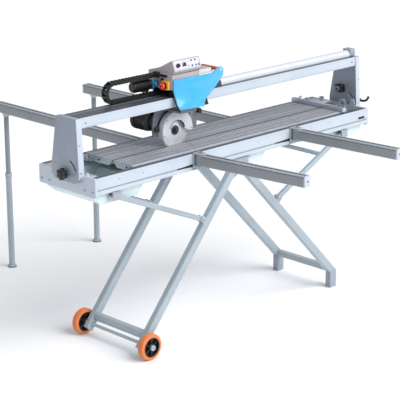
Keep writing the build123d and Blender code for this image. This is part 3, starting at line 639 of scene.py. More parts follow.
class TILESAW_OT_bridge(bpy.types.Operator):
    """Beam with a half-round duct, two towers whose front faces carry a pale sheet of painted light, laser and
    tilt locks
    """
    bl_idname = "tilesaw.bridge"
    bl_label = "Beam and towers"

    def execute(self, context):
        low, high = span("beam")
        y, b, z0, z1 = low.y, high.y, low.z, high.z
        outline = [(b - 2, z0), (y + 2, z0), (y, z0 + 2)]
        for z in (z0 + 6, z1 - 8):
            outline += [(y, z - 0.8), (y + 0.9, z - 0.3), (y + 0.9, z + 0.6), (y, z + 1.1)]
        outline += [(y, z1 - 2), (y + 2, z1), (-22, z1), (-22, z1 - 0.8), (-19, z1 - 0.8), (-19, z1),
                    (b - 2, z1), (b, z1 - 2), (b, z0 + 2)]
        # The beam's upward faces take the dark anodised copy: painted shade on its top.
        piece("travel_beam", Shape().prism("yz", outline, low.x, high.x, 0), "bridge",
              "powder_coat_pale", ["beam"], up="painted_shade_dark_top")
        self.duct()
        for node, name in (("tower_left", "left_tower"), ("tower_right", "right_tower")):
            rounded(name, node, 1.5, "bridge", "powder_coat_grey")
        low, high = span("tower_right")
        edge, screws = Shape(), Shape()
        # Pale sheet over each tower's front face and slanted edge: painted light, the lit look of the fronts.
        strip = [(y - 0.1, high.z - 1), (y - 1.8, high.z - 1), (low.y - 1.8, 915), (low.y - 1.8, 886),
                 (low.y, 886), (low.y, 915)]
        for side in (-1, 1):
            x0, x1 = sorted((side * (low.x - 6), side * (high.x - 1)))
            edge.prism("yz", strip, x0, x1, 0.4)
            for z in (892, 912, 1035):
                yy = low.y - 1.8 + max(0.0, (z - 915) / (high.z - 915)) * (y - low.y)
                socket_screw(screws, "y", yy, -1, side * (low.x + 13), z, 4.2, 2.2)
            socket_screw(screws, "y", y, -1, side * (low.x - 32), (z0 + z1) / 2, 5.0, 2.4)
            for yy, z in ((-84, 1136), (6, 1136), (48, 930)):
                socket_screw(screws, "x", side * high.x, side, yy, z, 4.5, 2.4)
            self.angle_marks(screws, side * high.x, side)
        piece("tower_fronts_painted_light", edge, "bridge", "powder_coat_pale")
        piece("bridge_screws", screws, "bridge", "zinc_plate")
        self.laser()
        self.locks()
        return {"FINISHED"}

    @staticmethod
    def angle_marks(shape, x, side):
        """Raised ticks each five degrees round the tilt slot."""
        for k in range(10):
            put = around("x", TILT_Y, TILT_Z, math.radians(28 + 5 * k))
            length = 9 if k % 3 == 0 else 6
            x0, x1 = sorted((x, x + side * 0.5))
            shape.block(x0, x1, TILT_Y - 0.5, TILT_Y + 0.5, TILT_Z + 76, TILT_Z + 76 + length, 0.0, put)

    @staticmethod
    def duct():
        """Half-round cable duct with a band at each end, and its end block."""
        low, high = span("beam_duct")
        y0, y1, z0, top = -70.0, -26.0, low.z, 1179.5
        radius, mid, end = (y1 - y0) / 2, (y0 + y1) / 2, high.x - 39
        arc = [(mid - radius * math.cos(math.pi * k / 16),
                top - radius + radius * math.sin(math.pi * k / 16)) for k in range(17)]
        tube = Shape().prism("yz", [(y0, z0), *arc, (y1, z0)], low.x - 40, end, 0)
        band = [(mid + (yy - mid) * 1.02, z0 + (z - z0) * 1.02) for yy, z in arc]
        for x in (low.x - 39, end - 8):
            tube.prism("yz", [(y0 - 0.5, z0), *band, (y1 + 0.5, z0)], x, x + 7, 0)
        piece("cable_duct", tube, "bridge", "anodised_duct", ["beam_duct"])
        block = Shape().block(end, high.x, low.y, high.y, z0, top + 6, 3, steps=3)
        block.block(end - 0.5, high.x, low.y - 0.5, high.y, z0 + 14, z0 + 15.5, 0.3)
        socket_screw(block, "z", top + 6, 1, (end + high.x) / 2, mid, 4, 2)
        piece("duct_end_block", block, "bridge", "powder_coat_grey")

    @staticmethod
    def laser():
        """Line laser with its bezel ring and window."""
        low, high = span("laser_unit")
        x, mid = low.x + 12, (low + high) / 2
        body = Shape().block(x, high.x, low.y, high.y, low.z, high.z, 3.5, steps=3)
        body.block(x + 6, high.x, low.y - 3, high.y + 3, low.z + 8, low.z + 14, 1)
        piece("laser_body", body, "bridge", "abs_black", ["laser_unit"])
        ring = Shape().turned("x", [(low.x, 13), (low.x, 9.5), (low.x + 3, 8.5), (x + 1, 8.5), (x + 1, 13)],
                              -12, mid.z, 40)
        piece("laser_ring", ring, "bridge", "zinc_plate")
        lens = Shape().turned("x", [(low.x + 3.2, 0), (low.x + 4, 6), (low.x + 5, 9), (x, 9), (x, 0)], -12,
                              mid.z, 32)
        piece("laser_lens", lens, "bridge", "display_glass")

    @staticmethod
    def locks():
        """Star knob at the left tower and bent lever at the right one."""
        low, high = span("tilt_knob")
        y, z = (low.y + high.y) / 2, (low.z + high.z) / 2
        knob = Shape()
        lobed(knob, "x", low.x + 4, low.x + 26, 28, y, z, 6, 0.14, 2.5)
        knob.turned("x", [(low.x, 0), (low.x, 10), (low.x + 2, 13), (low.x + 5, 14), (low.x + 5, 0)], y, z,
                    32)
        knob.rod("x", low.x + 25, high.x, 12, y, z, 1)
        piece("tilt_star_knob", knob, "tilt_screw", "abs_black", ["tilt_knob"])
        low, high = span("tilt_lever")
        lock = next(j["pos_m"] for j in frame["joints"] if j["name"] == "tilt_lock_turn")
        y, z = (lock[1] - MID_Y) / MILLI, lock[2] / MILLI
        path = [(964, y, z), (964, y - 22, z - 2), (966, y - 38, z + 1), (970, y - 48, z + 8),
                (974, y - 52, z + 19), (975, y - 51, z + 25)]
        lever = Shape().pipe(path, 6.0, 20)
        lever.rod("x", low.x, low.x + 18, 11, y, z, 1.5)
        lever.turned("x", [(low.x + 17, 8), (low.x + 19, 6), (low.x + 19, 0), (low.x + 16, 0)], y, z, 24)
        piece("tilt_lock_lever", lever, "tilt_lock", "abs_black", ["tilt_lever"])


# ---- energy chain ----

class TILESAW_OT_chain(bpy.types.Operator):
    """Energy chain: side plates joined by cross bars, in a fixed run, a rolling loop and a moving run"""
    bl_idname = "tilesaw.chain"
    bl_label = "Energy chain"

    def execute(self, context):
        pitch = context.scene.tilesaw_sizes.link_pitch
        lower, upper = span("chain_lower_run"), span("chain_upper_run")
        loop_low, loop_high = span("chain_loop")
        self.y0, self.y1 = lower[0].y, lower[1].y
        self.thick = lower[1].z - lower[0].z
        loop_x, head_x = lower[0].x, upper[1].x
        z_low, z_high = (lower[0].z + lower[1].z) / 2, (upper[0].z + upper[1].z) / 2
        run = self.straight(loop_x, lower[1].x, z_low, pitch)
        start, end = (TO_FRAME @ Vector((x, 0, z_low)) for x in (lower[1].x, loop_x))
        piece("chain_fixed_run", run, None, "nylon_chain", ["chain_lower_run"],
              blend=("bridge", "chain", start, end))
        run = self.straight(loop_x, head_x, z_high, pitch)
        start, end = (TO_FRAME @ Vector((x, 0, z_high)) for x in (2 * loop_x - head_x, head_x))
        piece("chain_moving_run", run, None, "nylon_chain", ["chain_upper_run"],
              blend=("bridge", "head", start, end))
        centre_z, radius = (loop_low.z + loop_high.z) / 2, (loop_high.z - loop_low.z - self.thick) / 2
        count = round(math.pi * radius / pitch)
        loop = Shape()
        for k in range(count):
            turn = math.pi * (k + 0.5) / count
            put = around("y", loop_x, centre_z, turn) @ Matrix.Translation((loop_x, 0, centre_z - radius))
            self.link(loop, math.pi * radius / count * 1.02, put)
        piece("chain_rolling_loop", loop, "chain", "nylon_chain", ["chain_loop"])
        return {"FINISHED"}

    def straight(self, x0, x1, z, pitch):
        """Links in a row between two places along X."""
        run = Shape()
        count = round((x1 - x0) / pitch)
        step = (x1 - x0) / count
        for k in range(count):
            self.link(run, step, Matrix.Translation((x0 + (k + 0.5) * step, 0, z)))
        return run

    def link(self, shape, length, put):
        """One link lying along X: two overlapping side plates, and a bar above and below between them."""
        half, r = length / 2, self.thick / 2
        arcs = [(half - r * 0.55 + r * math.sin(a), -r * math.cos(a)) for a in
                (math.pi * k / 6 for k in range(7))]
        plate = arcs + [(-x * 0.82, -z) for x, z in arcs]
        thick = 3.2
        inner = [(x * 0.8, z * 0.8) for x, z in plate]
        for y in (self.y0, self.y1 - thick):
            shape.prism("xz", plate, y, y + thick, 0.0, put=put)
            shape.prism("xz", inner, y + thick * 0.5 - 2.0, y + thick * 0.5 + 2.0, 0.0, put=put)
        for z in (-r + 0.6, r - 2.6):
            shape.block(-half * 0.55, half * 0.55, self.y0 + 2, self.y1 - 2, z, z + 2.0, 0.0, put)


# ---- travelling head ----

class TILESAW_OT_head(bpy.types.Operator):
    """Carriage over the beam, sheet cover with its handle eye, moulded console and handle bar"""
    bl_idname = "tilesaw.head"
    bl_label = "Head shell"

    def execute(self, context):
        sizes = context.scene.tilesaw_sizes
        rounded("head_carriage", "carriage", sizes.casting_round, "head", "cast_black")
        rollers = Shape()
        low, high = span("carriage")
        for x in (low.x + 15, high.x - 15):
            rollers.rod("y", -104.5, 30, 4, x, 1188, 0.8, 20)
        piece("roller_axles", rollers, "head", "zinc_plate")
        self.console(sizes)
        self.cover(sizes)
        self.handle()
        return {"FINISHED"}

    @staticmethod
    def console(sizes):
        """Moulded console with its band, seam, side plate and chain anchor."""
        rounded("console_shell", "console_body", sizes.moulding_round, "head",
                "abs_console", steps=3)
        low, high = span("console_body")
        x1 = high.x
        band = Shape().block(-206, x1 + 0.5, -103.6, 31.5, 1233, 1253, 1.6)
        piece("console_band", band, "head", "abs_band")
        seam = Shape().block(low.x - 1.0, -203.6, -103.8, 57, 1254.2, 1255.6, 0.3)
        piece("console_seam", seam, "head", "black_rubber")
        side = Shape().block(low.x - 1.5, low.x + 2, -103, 55, 1184, 1256, 1.5)
        side.block(low.x, -206, -103.4, 55, 1206, 1215, 1.5)
        piece("console_side_plate", side, "head", "abs_console")
        gland = Shape().block(low.x - 14, low.x + 6, -21, 15, 1232, 1257, 2)
        gland.block(low.x - 2, low.x + 26, -70, -21, 1236, 1250, 2)
        gland.turned("x", [(low.x - 10, 0), (low.x - 10, 7), (low.x - 4, 9), (low.x + 1, 9),
                           (low.x + 1, 0)], -40, 1226, 24)
        piece("chain_anchor", gland, "head", "abs_black")
        screws = Shape()
        for x, y in ((low.x + 12, 44), (-216, 44), (low.x + 12, -6), (-216, -6)):
            z = 1258 + (56 - y) * 21 / 74 if y > -18 else 1279
            socket_screw(screws, "z", z - 0.5, 1, x, y, 3.0, 1.6)
        for y, z in ((40, 1222), (-90, 1222)):
            socket_screw(screws, "x", low.x, -1, y, z, 3.2, 2.0)
        piece("console_screws", screws, "head", "zinc_plate")

    @staticmethod
    def cover(sizes):
        """Sheet cover before the beam, with its screws and handle eye."""
        cover = Shape().from_node("cover_plate", sizes.sheet_round)
        piece("blue_front_cover", cover, "head", "enamel_blue", ["cover_plate"])
        screws = Shape()
        for x, z in ((-360, 1219), (-250, 1219), (-140, 1217)):
            socket_screw(screws, "y", -110, -1, x, z, 3.6, 1.6)
        piece("cover_screws", screws, "head", "zinc_plate")
        eye = Shape().turned("y", [(-112.5, 0), (-112.5, 5), (-111.5, 8.5), (-109.5, 9), (-109.5, 0)],
                             HANDLE_X, HANDLE_Z, 32)
        piece("handle_end_cap", eye, "head", "anodised_bright_and_highlight")

    @staticmethod
    def handle():
        """Ribbed grip on its arm."""
        low, high = span("handle_bar")
        x, z, y0, y1 = HANDLE_X, HANDLE_Z, low.y, high.y
        outline = [(y0, 0), (y0, 8.2), (y0 + 2, 9)]
        for k in range(9):
            y = y0 + 12 + k * 9.5
            outline += [(y - 1.5, 9), (y - 0.8, 8.3), (y + 0.8, 8.3), (y + 1.5, 9)]
        outline += [(y1 - 8, 9), (y1 - 6, 8), (y1 - 6, 0)]
        grip = Shape().turned("y", outline, x, z, 32)
        piece("handle_grip", grip, "head", "grip_rubber", ["handle_bar"])
        arm = Shape().block(low.x, x + 4, -3, 8, 1233, 1245, 2.5)
        arm.rod("y", y1 - 7, y1, 8, x, z, 1)
        arm.block(low.x - 2, low.x + 12, -100, -84, 1234, 1256, 2)
        piece("handle_arm", arm, "head", "abs_black")


def panel_place(x, up, out):
    """Matrix onto the sloped panel: local X along the table, Y up the panel, Z out of its face."""
    normal = Vector(next(j["axis"] for j in frame["joints"] if j["name"] == "speed_turn")).normalized()
    rise = normal.cross(Vector((1, 0, 0)))
    half_thick = 2.0
    at = node_centre("control_panel") + normal * (half_thick + out) + rise * up
    at.x = x
    turn = Matrix((Vector((1, 0, 0)), rise, normal)).transposed().to_4x4()
    return Matrix.Translation(at) @ turn


class TILESAW_OT_controls(bpy.types.Operator):
    """Film panel with speed dial, display, start button and keys, and the emergency stop on its box"""
    bl_idname = "tilesaw.controls"
    bl_label = "Controls"

    def execute(self, context):
        low, high = span("control_panel")
        mid_x, half = (low.x + high.x) / 2, (high.x - low.x) / 2
        rounded("film_panel", "control_panel", 0.6, "head", "film_panel")
        rim = Shape()
        for up in (-20.6, 20.6):
            rim.block(-half, half, up - 0.8, up + 0.8, -0.5, 0.8, 0.3, panel_place(mid_x, 0, 0))
        for side in (-1, 1):
            rim.block(side * (half - 1) - 0.8, side * (half - 1) + 0.8, -21, 21, -0.5, 0.8, 0.3,
                      panel_place(mid_x, 0, 0))
        piece("panel_rim", rim, "head", "abs_band")
        marks = Shape()
        for k in range(11):
            turn = math.radians(-135 + 27 * k)
            put = panel_place(DIAL_X, DIAL_UP, 0) @ Matrix.Rotation(-turn, 4, "Z")
            marks.block(-0.4, 0.4, 11.5, 14.0, -0.2, 0.35, 0.0, put)
        for x, up, wide in ((-303, 14.5, 16), (-278, 9.5, 10), (-278, -13.5, 10), (-303, -15, 20)):
            marks.block(-wide / 2, wide / 2, -0.5, 0.5, -0.2, 0.35, 0.0, panel_place(x, up, 0))
        piece("panel_marks", marks, "head", "key_caps")
        screen = Shape().block(-12, 12, -9, 9, -0.5, 1.0, 0.5, panel_place(-304, 0, 0))
        piece("display_window", screen, "head", "display_glass")
        self.dial()
        self.keys()
        self.stop()
        return {"FINISHED"}

    @staticmethod
    def dial():
        """Fluted speed knob with its pointer."""
        dial = Shape()
        steps = 96
        ring = [8.6 + 0.4 * math.cos(math.tau * 16 * k / steps) for k in range(steps)]
        put = panel_place(DIAL_X, DIAL_UP, 0)
        dial.prism("xy", round_points(ring), 0.4, 10.5, 0.0, put=put)
        dial.turned("z", [(10.4, 8.0), (12.2, 7.4), (13.0, 6.2), (13.0, 0), (10.4, 0)], 0, 0, 32, put=put)
        dial.block(-0.7, 0.7, 0, 7.6, 12.6, 13.6, 0.2, put)
        piece("speed_dial_knob", dial, "speed_dial", "abs_black", ["speed_knob"])

    @staticmethod
    def keys():
        """Five key caps, and the start button in its ring."""
        place = panel_place(0, 0, 0)
        for k in range(1, 6):
            node = f"panel_button_{k}"
            local = place.inverted() @ node_centre(node)
            key = Shape().turned("z", [(-1.8, 0), (-1.8, 4.5), (1.6, 4.5), (2.3, 4.0), (2.6, 2.6),
                                       (2.3, 0)], 0, 0, 28, put=panel_place(local.x, local.y, 0))
            piece(f"key_cap_{k}", key, f"key_{k}", "key_caps", [node])
        local = place.inverted() @ node_centre("start_button")
        put = panel_place(local.x, local.y, 0)
        start = Shape().turned("z", [(-2.0, 0), (-2.0, 7.0), (2.8, 7.0), (3.6, 6.2), (3.2, 0)], 0, 0, 40,
                               put=put)
        piece("start_button_cap", start, "start_key", "key_white", ["start_button"])
        bezel = Shape().turned("z", [(-0.5, 7.5), (1.2, 7.5), (1.6, 8.0), (1.2, 9.2), (-0.5, 9.6)], 0, 0,
                               40, put=put)
        piece("start_button_bezel", bezel, "head", "zinc_plate")

    @staticmethod
    def stop():
        """Emergency stop: yellow box, collar and mushroom button with arrows."""
        low, high = span("estop_housing")
        y, z = -62.0, 1202.0
        rounded("stop_box", "estop_housing", 1.2, "head", "stop_yellow", steps=3)
        collar = Shape().turned("x", [(low.x - 2.5, 8.5), (low.x - 2.5, 13), (low.x - 1, 15),
                                      (low.x + 0.5, 15), (low.x + 0.5, 8.5)], y, z, 40)
        piece("stop_collar", collar, "head", "abs_black")
        low, high = span("estop_button")
        dome = [(low.x, 0), (low.x + 0.3, 7), (low.x + 1.6, 12.5), (low.x + 4.5, 16.2), (low.x + 8, 17),
                (low.x + 12, 17), (low.x + 13, 16), (low.x + 13, 6), (high.x, 6), (high.x, 0)]
        button = Shape().turned("x", dome, y, z, 48)
        piece("stop_button", button, "estop_push", "stop_red", ["estop_button"])
        arrows = Shape()
        for k in range(3):
            put = around("x", y, z, math.tau * k / 3)
            arrows.block(low.x, low.x + 1.4, y - 4, y + 4, z + 8.2, z + 9.8, 0.2, put)
        piece("stop_button_arrows", arrows, "estop_push", "key_white")


class TILESAW_OT_feed(bpy.types.Operator):
    """Ribbed feed motor with its gear flange"""
    bl_idname = "tilesaw.feed"
    bl_label = "Feed motor"

    def execute(self, context):
        pitch = context.scene.tilesaw_sizes.fin_pitch
        low, high = span("feed_motor")
        y, z, x0, x1 = 10.0, 1203.0, low.x, low.x + 108
        outline = [(x0, 0), (x0, 19), (x0 + 3, 23), (x0 + 8, 23.4)]
        for k in range(int((x1 - x0 - 20) // pitch)):
            x = x0 + 10 + k * pitch
            outline += [(x, 23.4), (x + 0.6, 26), (x + pitch * 0.45, 26), (x + pitch * 0.45 + 0.6, 23.4)]
        outline += [(x1 - 6, 24), (x1, 24), (x1, 0)]
        motor = Shape().turned("x", outline, y, z, 56)
        motor.block(x1 - 50, x1 - 14, y - 14, y + 14, z - 30, z - 20, 2)
        piece("feed_motor_body", motor, "head", "cast_black", ["feed_motor"])
        flange = Shape().block(x1, x1 + 8, -14, 34, 1180, 1226, 2)
        flange.block(x1 + 7, high.x, -8, 28, 1192, 1216, 2.5)
        flange.rod("x", x1 + 7, x1 + 20, 14, y - 20, z, 1.5)
        for yy, zz in ((-9, 1185), (29, 1185), (-9, 1221), (29, 1221)):
            socket_screw(flange, "x", x1, -1, yy, zz, 3.2, 2.5)
        piece("feed_gear_flange", flange, "head", "enamel_teal")
        return {"FINISHED"}


# ---- cutting unit ----

class TILESAW_OT_cutting(bpy.types.Operator):
    """Spindle motor with fins, mounting plate, blade guard with its seal, water pipes and clamp knobs"""
    bl_idname = "tilesaw.cutting"
    bl_label = "Cutting unit"

    def execute(self, context):
        sizes = context.scene.tilesaw_sizes
        rounded("spindle_plate", "motor_plate", sizes.casting_round, "cutting_unit",
                "plate_paint_and_painted_shade")
        self.motor()
        guard = Shape().from_node("blade_guard", 0.8)
        piece("guard_shell", guard, "cutting_unit", "powder_coat_guard", ["blade_guard"])
        self.seal()
        details = Shape()
        for x, z in ((-368, 958), (-352, 1030), (-220, 1042), (-198, 975)):
            seat = -43 if math.hypot(x - GUARD_X, z - GUARD_Z) < 90 else -4
            socket_screw(details, "y", seat, -1, x, z, 4.0, 2.4)
        for x in (-310, -250):
            socket_screw(details, "y", -112, -1, x, 1104, 4.0, 2.4)
        for x, z in ((-400, 1040), (-150, 1060), (-140, 985), (-175, 1062)):
            socket_screw(details, "y", -4, -1, x, z, 4.0, 2.6)
        piece("guard_screws", details, "cutting_unit", "zinc_plate")
        pipes = Shape()
        pipes.pipe([(-150, -12, 1062), (-168, -20, 1056), (-178, -24, 1035), (-180, -25, 1010),
                    (-181, -24, 990)], 4.0)
        pipes.pipe([(-164, -10, 1066), (-186, -12, 1062), (-193, -14, 1040), (-194, -12, 1015),
                    (-193, -9, 992)], 4.0)
        piece("water_pipes", pipes, "cutting_unit", "clear_pvc")
        tap = Shape().rod("y", -22, -4, 8, -150, 1062, 1.2)
        tap.block(-158, -142, -26, -20, 1058, 1066, 1.2)
        tap.rod("y", -18, -4, 6, -181, 988, 1.0)
        piece("water_tap", tap, "cutting_unit", "zinc_plate")
        for node, name, body in (("guard_knob_left", "left_guard_knob", "guard_screw_left"),
                                 ("guard_knob_right", "right_guard_knob", "guard_screw_right")):
            low, high = span(node)
            x, z = (low.x + high.x) / 2, (low.z + high.z) / 2
            knob = Shape()
            lobed(knob, "y", low.y + 2, low.y + 15, 13, x, z, 5, 0.1, 1.6)
            knob.turned("y", [(low.y, 0), (low.y, 5), (low.y + 1, 8), (low.y + 3, 9), (low.y + 3, 0)], x, z,
                        28)
            knob.rod("y", low.y + 14, high.y, 4.9, x, z, 0.4, 24)
            piece(name, knob, body, "abs_black", [node])
        return {"FINISHED"}

    @staticmethod
    def motor():
        """Spindle motor with fins along it, and its fan cover."""
        x, z, r, y0, y1 = -398.0, 1028.0, 50.0, 14.0, span("spindle_motor")[1].y
        body = [(y0, 0), (y0, 44), (y0 + 2, 47), (y0 + 14, 47), (y0 + 14, 44), (y1 - 26, 44), (y1 - 26, 0)]
        motor = Shape().turned("y", body, x, z, 64)
        count = 28
        for k in range(count):
            put = around("y", x, z, math.tau * k / count)
            motor.block(x - 1.1, x + 1.1, y0 + 12, y1 - 24, z + 42, z + r - 0.5, 0.4, put, steps=1)
        motor.rod("y", 6, y0 + 1, 30, -385, 1024, 1.0, 40)
        motor.block(x - 26, x + 26, y0 + 16, y1 - 32, z + 38, z + 49.5, 3)
        piece("spindle_motor_body", motor, "cutting_unit", "cast_black", ["spindle_motor"])
        cap = [(y1 - 27, 0), (y1 - 27, 48), (y1 - 24, r - 0.2), (y1 - 7, r - 0.4), (y1 - 2, 45), (y1, 38),
               (y1, 0)]
        cover = Shape().turned("y", cap, x, z, 64)
        for k in range(3):
            r0 = 12 + 9 * k
            cover.turned("y", [(y1 - 0.5, r0), (y1, r0 + 0.5), (y1, r0 + 3.5), (y1 - 0.5, r0 + 4)], x, z,
                         48)
        piece("motor_fan_cover", cover, "cutting_unit", "cast_maroon")

    @staticmethod
    def seal():
        """Dark lip round the guard, bent in an arc between guard and plate."""
        low, high = span("blade_guard")
        x, z = GUARD_X, GUARD_Z
        radius = (high.x - low.x) / 2
        lip = [(-12, radius + 1), (-12, radius + 4), (-3, radius + 4), (-3, radius + 1)]
        seal = Shape().turned("y", lip, x, z, 48, angle=math.radians(172), start=math.radians(184))
        blade = node_centre("blade")
        lip = [(-43.6, 47.5), (-43.6, 50.5), (-39.5, 50.5), (-39.5, 47.5)]
        seal.turned("y", lip, blade.x, blade.z, 40, angle=math.radians(150), start=math.radians(196))
        piece("guard_seal", seal, "cutting_unit", "black_rubber")


class TILESAW_OT_blade(bpy.types.Operator):
    """Diamond blade with separate rim segments, clamped between flanges by the arbor nut"""
    bl_idname = "tilesaw.blade"
    bl_label = "Blade"

    def execute(self, context):
        count = context.scene.tilesaw_sizes.rim_segments
        low, high = span("blade")
        mid = (low + high) / 2
        radius, y0, y1 = (high.x - low.x) / 2, low.y, high.y
        core = [(y0 + 0.2, 8.0), (y0 + 0.2, radius - 9), (y0 + 0.5, radius - 8), (y1 - 0.5, radius - 8),
                (y1 - 0.2, radius - 9), (y1 - 0.2, 8.0)]
        piece("blade_core", Shape().turned("y", core, mid.x, mid.z, 96), "blade_shaft",
              "ground_steel", ["blade"])
        rim = Shape()
        arc = math.tau / count * 0.88
        for k in range(count):
            edge = [(y0, radius - 8.2), (y0, radius - 0.5), (y0 + 0.5, radius), (y1 - 0.5, radius),
                    (y1, radius - 0.5), (y1, radius - 8.2)]
            rim.turned("y", edge, mid.x, mid.z, 5, angle=arc, start=math.tau * k / count)
        piece("blade_rim", rim, "blade_shaft", "diamond_rim")
        arbor = Shape().turned("y", [(-44, 0), (-44, 7), (-43, 8), (21, 8), (22, 7), (22, 0)], mid.x, mid.z,
                               40)
        for a, b in ((y1, y1 + 5), (y0 - 5, y0)):
            arbor.turned("y", [(a, 7.9), (a, 21), (a + 0.8, 22), (b - 0.8, 22), (b, 21), (b, 7.9)], mid.x,
                         mid.z, 48)
        arbor.prism("xy", round_points([12.5] * 6), y0 - 13.5, y0 - 4.8, 0.8,
                    put=axis_place("y", 0, mid.x, mid.z))
        for k in range(4):
            put = around("y", mid.x, mid.z, math.tau * (k + 0.5) / 4)
            arbor.rod("y", y0 - 5.6, y0 - 4.6, 2.2, mid.x + 16.5, mid.z, 0.2, 16, put=put)
        piece("arbor_and_flanges", arbor, "blade_shaft", "phosphated_steel", ["arbor"])
        return {"FINISHED"}


# ---- fence ----

class TILESAW_OT_fence(bpy.types.Operator):
    """Mitre fence: grooved bar with a scale, a gauge plate, two star knobs and two side clamps"""
    bl_idname = "tilesaw.fence"
    bl_label = "Mitre fence"

    def execute(self, context):
        low, high = span("fence_bar")
        z0, z1, x0, x1 = low.z, high.z, low.x, low.x + 22
        outline = [(x0 + 1, z0), (x1 - 1, z0), (x1, z0 + 1), (x1, z1 - 1), (x1 - 1, z1), (x0 + 14, z1),
                   (x0 + 14, z1 - 1.6), (x0 + 9, z1 - 1.6), (x0 + 9, z1), (x0 + 1, z1), (x0, z1 - 1),
                   (x0, z0 + 1)]
        bar = Shape().prism("xz", outline, low.y, high.y, 0)
        piece("fence_rail", bar, "fence", "anodised_bright_and_highlight", ["fence_bar"])
        gauge = Shape().prism("xy", [(x1, 120), (x1, -30), (x1 + 24, -30), (x1 + 30, -22), (x1 + 30, 20),
                                     (x1 + 116, 20), (x1 + 120, 24), (x1 + 120, 114), (x1 + 114, 120)], z0,
                              z0 + 5, 0.7)
        piece("gauge_plate", gauge, "fence", "powder_coat_pale")
        scale = Shape()
        for k in range(33):
            y = low.y + 12 + 10 * k
            long = 6.5 if k % 5 == 0 else 4
            scale.block(x0 + 1.5, x0 + 1.5 + long, y - 0.4, y + 0.4, z1 - 0.2, z1 + 0.25, 0.0)
        for k in range(13):
            put = around("z", x1 + 14, 96, math.radians(-60 + 10 * k))
            scale.block(x1 + 60, x1 + 67, 95.6, 96.4, z0 + 4.9, z0 + 5.3, 0.0, put)
        piece("fence_scale", scale, "fence", "key_caps")
        for node, body in (("fence_knob_1", "fence_screw_1"), ("fence_knob_2", "fence_screw_2")):
            low_k, high_k = span(node)
            x, y = (low_k.x + high_k.x) / 2, (low_k.y + high_k.y) / 2
            knob = Shape().rod("z", low_k.z, low_k.z + 10, 6, x, y, 0.6, 24)
            lobed(knob, "z", low_k.z + 9, high_k.z, 13, x, y, 5, 0.16, 1.6)
            piece(f"star_{node}", knob, body, "zinc_plate", [node])
        clamps = Shape()
        for y in (-150, -96, 150):
            clamps.block(x1 - 1, x1 + 26, y - 12, y + 12, z0, z0 + 12, 2)
            clamps.rod("z", z0 + 11, z0 + 20, 5, x1 + 14, y, 0.8, 20)
            clamps.pipe([(x1 + 14, y, z0 + 18), (x1 + 26, y + 4, z0 + 19), (x1 + 40, y + 7, z0 + 18)], 3.0,
                        12)
        piece("fence_clamps", clamps, "fence", "zinc_plate")
        return {"FINISHED"}


# ---- stand ----

class TILESAW_OT_stand(bpy.types.Operator):
    """Folding legs with their braces, tie bars, feet, hinge brackets and pins"""
    bl_idname = "tilesaw.stand"
    bl_label = "Folding stand"

    def execute(self, context):
        sizes = context.scene.tilesaw_sizes
        rows = (("left_leg_frame", "left_legs", "left_leg_tubes"), ("right_leg_frame", "right_legs",
                "right_leg_tubes"), ("left_braces", "left_brace", "left_brace_bars"), ("right_braces",
                "right_brace", "right_brace_bars"))
        for node, body, name in rows:
            rounded(name, node, sizes.sheet_round, body, "powder_coat_silver")
        piece("rubber_feet", self.feet(), "right_legs", "powder_coat_grey", ["right_feet"])
        rounded("hinge_and_catch_brackets", "stand_brackets", 0.8, "frame", "zinc_plate")
        rounded("hinge_and_lock_pins", "hinge_pins", 0.8, "frame", "zinc_plate")
        for body, joint in (("left_legs", "left_brace_fold"), ("right_legs", "right_brace_fold")):
            at = next(j["pos_m"] for j in frame["joints"] if j["name"] == joint)
            x, z = at[0] / MILLI, at[2] / MILLI
            bolts = Shape()
            for side in (-1, 1):
                socket_screw(bolts, "y", side * 195, side, x, z, 8.0, 4.0)
                bolts.turned("y", [(side * 194.6, 5), (side * 196, 5), (side * 196, 11),
                                   (side * 194.6, 11)], x, z, 32)
            piece(f"{body}_bolts", bolts, body, "zinc_plate")
        caps = Shape()
        for x in (-54, -10):
            for side in (-1, 1):
                socket_screw(caps, "y", side * 203, side, x, 784, 9.0, 3.0)
        piece("hinge_pin_heads", caps, "frame", "zinc_plate")
        return {"FINISHED"}

    @staticmethod
    def feet():
        """Two moulded feet, each on a sole."""
        low, high = span("right_feet")
        mid_x = (low.x + high.x) / 2
        feet = Shape()
        for side in (-1, 1):
            y = side * (high.y - 17)
            feet.block(low.x, high.x, y - 17, y + 17, 14, high.z, 3.5, steps=3)
            feet.block(low.x, high.x, y - 17, y + 17, 0, 13, 2.5)
            feet.block(mid_x - 21, mid_x + 21, y - 15, y + 15, 10, 16, 0.5)
        return feet


